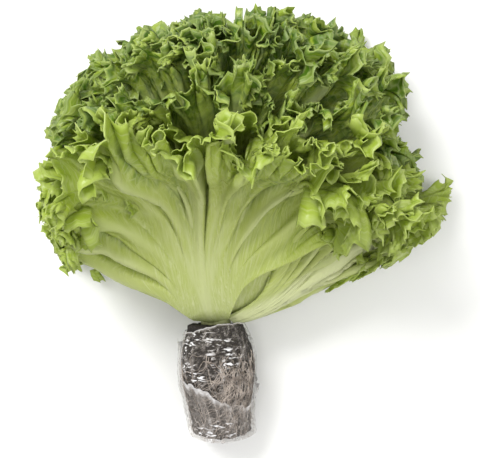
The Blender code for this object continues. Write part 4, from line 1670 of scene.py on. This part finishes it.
@dataclass
class RootNet:
    """Fine roots that wander down the plug's side between peat and film.

    The bunched share of them starts near one side, given by its middle and spread in turns; half
    start high up and half low; a heading keeps its hold of itself at each step.
    """

    plug: RootPlug
    count: int = 160
    seed: int = 17
    bunched: float = 0.55
    bunch: Pair = (0.16, 0.07)
    high: Pair = (16.0, 32.0)
    low: Pair = (26.0, 68.0)
    length: Pair = (18.0, 60.0)
    step: float = 1.6
    hold: float = 0.93
    stray: float = 0.28
    steepest: float = 1.9
    sides: int = 5
    thick: Pair = (0.12, 0.36)
    taper: float = 0.45

    def course(self, rng: np.random.Generator) -> tuple[Array, float]:
        """Wander one root down the plug.

        Args:
            rng: Source of the draws.

        Returns:
            Points of the root and its thickness at the start.
        """
        turn = rng.normal(*self.bunch) if rng.random() < self.bunched else rng.random()
        depth = rng.uniform(*(self.high if rng.random() < 0.5 else self.low))
        heading, length = rng.normal(0.0, 0.5), rng.uniform(*self.length)
        turns, depths = [turn], [depth]
        while len(turns) * self.step < length:
            heading = self.hold * heading + rng.normal(0.0, self.stray)
            heading = float(np.clip(heading, -self.steepest, self.steepest))
            turn += self.step * math.sin(heading) / (TURN * 24)
            depth += self.step * math.cos(heading)
            if not 1.0 < depth < self.plug.length - 0.5:
                break
            turns.append(turn)
            depths.append(depth)
        lift = 0.15 + 0.35 * rng.random() + 0.2 * np.sin(np.arange(len(turns)) * 0.6 + rng.uniform(0, 6))
        return self.plug.surface(np.array(depths), lift, np.array(turns)), rng.uniform(*self.thick)

    def tube(self, points: Array, thick: float) -> Body:
        """Thin tapering tube along a root.

        Args:
            points: Course of the root.
            thick: Radius at the start.

        Returns:
            The tube.
        """
        way = unit(np.gradient(points, axis=0))
        side = unit(np.cross(way, np.array([0.31, 0.2, 0.93])))
        radius = thick * np.linspace(1, 1 - self.taper, len(points))
        a = TURN * np.arange(self.sides) / self.sides
        round_it = np.cos(a)[:, None] * side[:, None] + np.sin(a)[:, None] * np.cross(way, side)[:, None]
        return skin(points[:, None] + radius[:, None, None] * round_it)

    def body(self) -> Body:
        """All roots in one body.

        Returns:
            The body.
        """
        rng = np.random.default_rng(self.seed)
        courses = [self.course(rng) for _ in range(self.count)]
        tubes = [self.tube(points, thick) for points, thick in courses if len(points) >= 4]
        done = np.cumsum([0] + [len(tube.points) for tube in tubes])
        points = np.concatenate([tube.points for tube in tubes])
        points[:, 2] = np.maximum(points[:, 2], self.plug.floor + 0.1)
        return Body(points, np.concatenate([tube.tris + first for tube, first in zip(tubes, done)]))


# Studio

@dataclass
class Studio:
    """Pale floor, soft lights and the camera straight above the head, in metres and watts."""

    eye: float = 0.933
    aim: Triple = (-0.004, -0.0035, 0.05)
    lens: float = 100.0
    sensor: float = 36.0
    floor_size: float = 6.0
    ambient: float = 0.66
    lights: tuple[tuple[str, Triple, float, float], ...] = (
        ("key", (-0.70, 0.80, 1.30), 0.7, 25.0), ("fill", (0.9, -0.35, 1.2), 1.0, 7.0),
        ("glint", (-0.25, -0.1, 1.6), 0.35, 3.0))

    def build(self, finish: SweepFinish) -> None:
        """Make the floor, the lights, the world and the camera.

        Args:
            finish: Finish of the floor.
        """
        scene, half = bpy.context.scene, self.floor_size / 2
        mesh = bpy.data.meshes.new("sweep")
        around = ((-half, -half, 0), (half, -half, 0), (half, half, 0), (-half, half, 0))
        mesh.from_pydata(around, [], [(0, 1, 2, 3)])
        mesh.materials.append(finish.make())
        add_object("sweep", mesh)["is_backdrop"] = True
        for name, place, size, power in self.lights:
            data = bpy.data.lights.new(name, "AREA")
            data.size, data.energy = size, power
            lamp = add_object(name, data)
            lamp.location = place
            way = Vector((0.0, 0.0, self.aim[2])) - Vector(place)
            lamp.rotation_euler = way.to_track_quat("-Z", "Y").to_euler()
        world = bpy.data.worlds.new("soft_room")
        scene.world = world
        world.use_nodes = True
        sky = world.node_tree.nodes["Background"]
        sky.inputs[0].default_value = (1.0, 1.0, 1.0, 1.0)
        sky.inputs[1].default_value = self.ambient
        data = bpy.data.cameras.new("camera")
        data.lens, data.sensor_width = self.lens, self.sensor
        scene.camera = add_object("camera", data)
        scene.camera.location = (self.aim[0], self.aim[1], self.aim[2] + self.eye)
        scene.view_settings.view_transform = "Standard"
        log.info("studio ready")


def corners(box: tuple[Vector, Vector]) -> list[list[float]]:
    """A box's two corners as plain lists."""
    return [list(corner) for corner in box]


def main() -> None:
    """Build the head, the plug and the studio."""
    logging.basicConfig(level=logging.INFO, format="%(message)s", stream=sys.stdout)
    solid = corners(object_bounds())
    head = LeafHead()
    head.grow()
    head.build(LeafFinish())
    RootPlug(floor=-head.shift[2]).build(head.shift)
    Studio().build(SweepFinish())
    {"cad": solid, "visual": corners(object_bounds())}


if __name__ == "__main__":
    main()
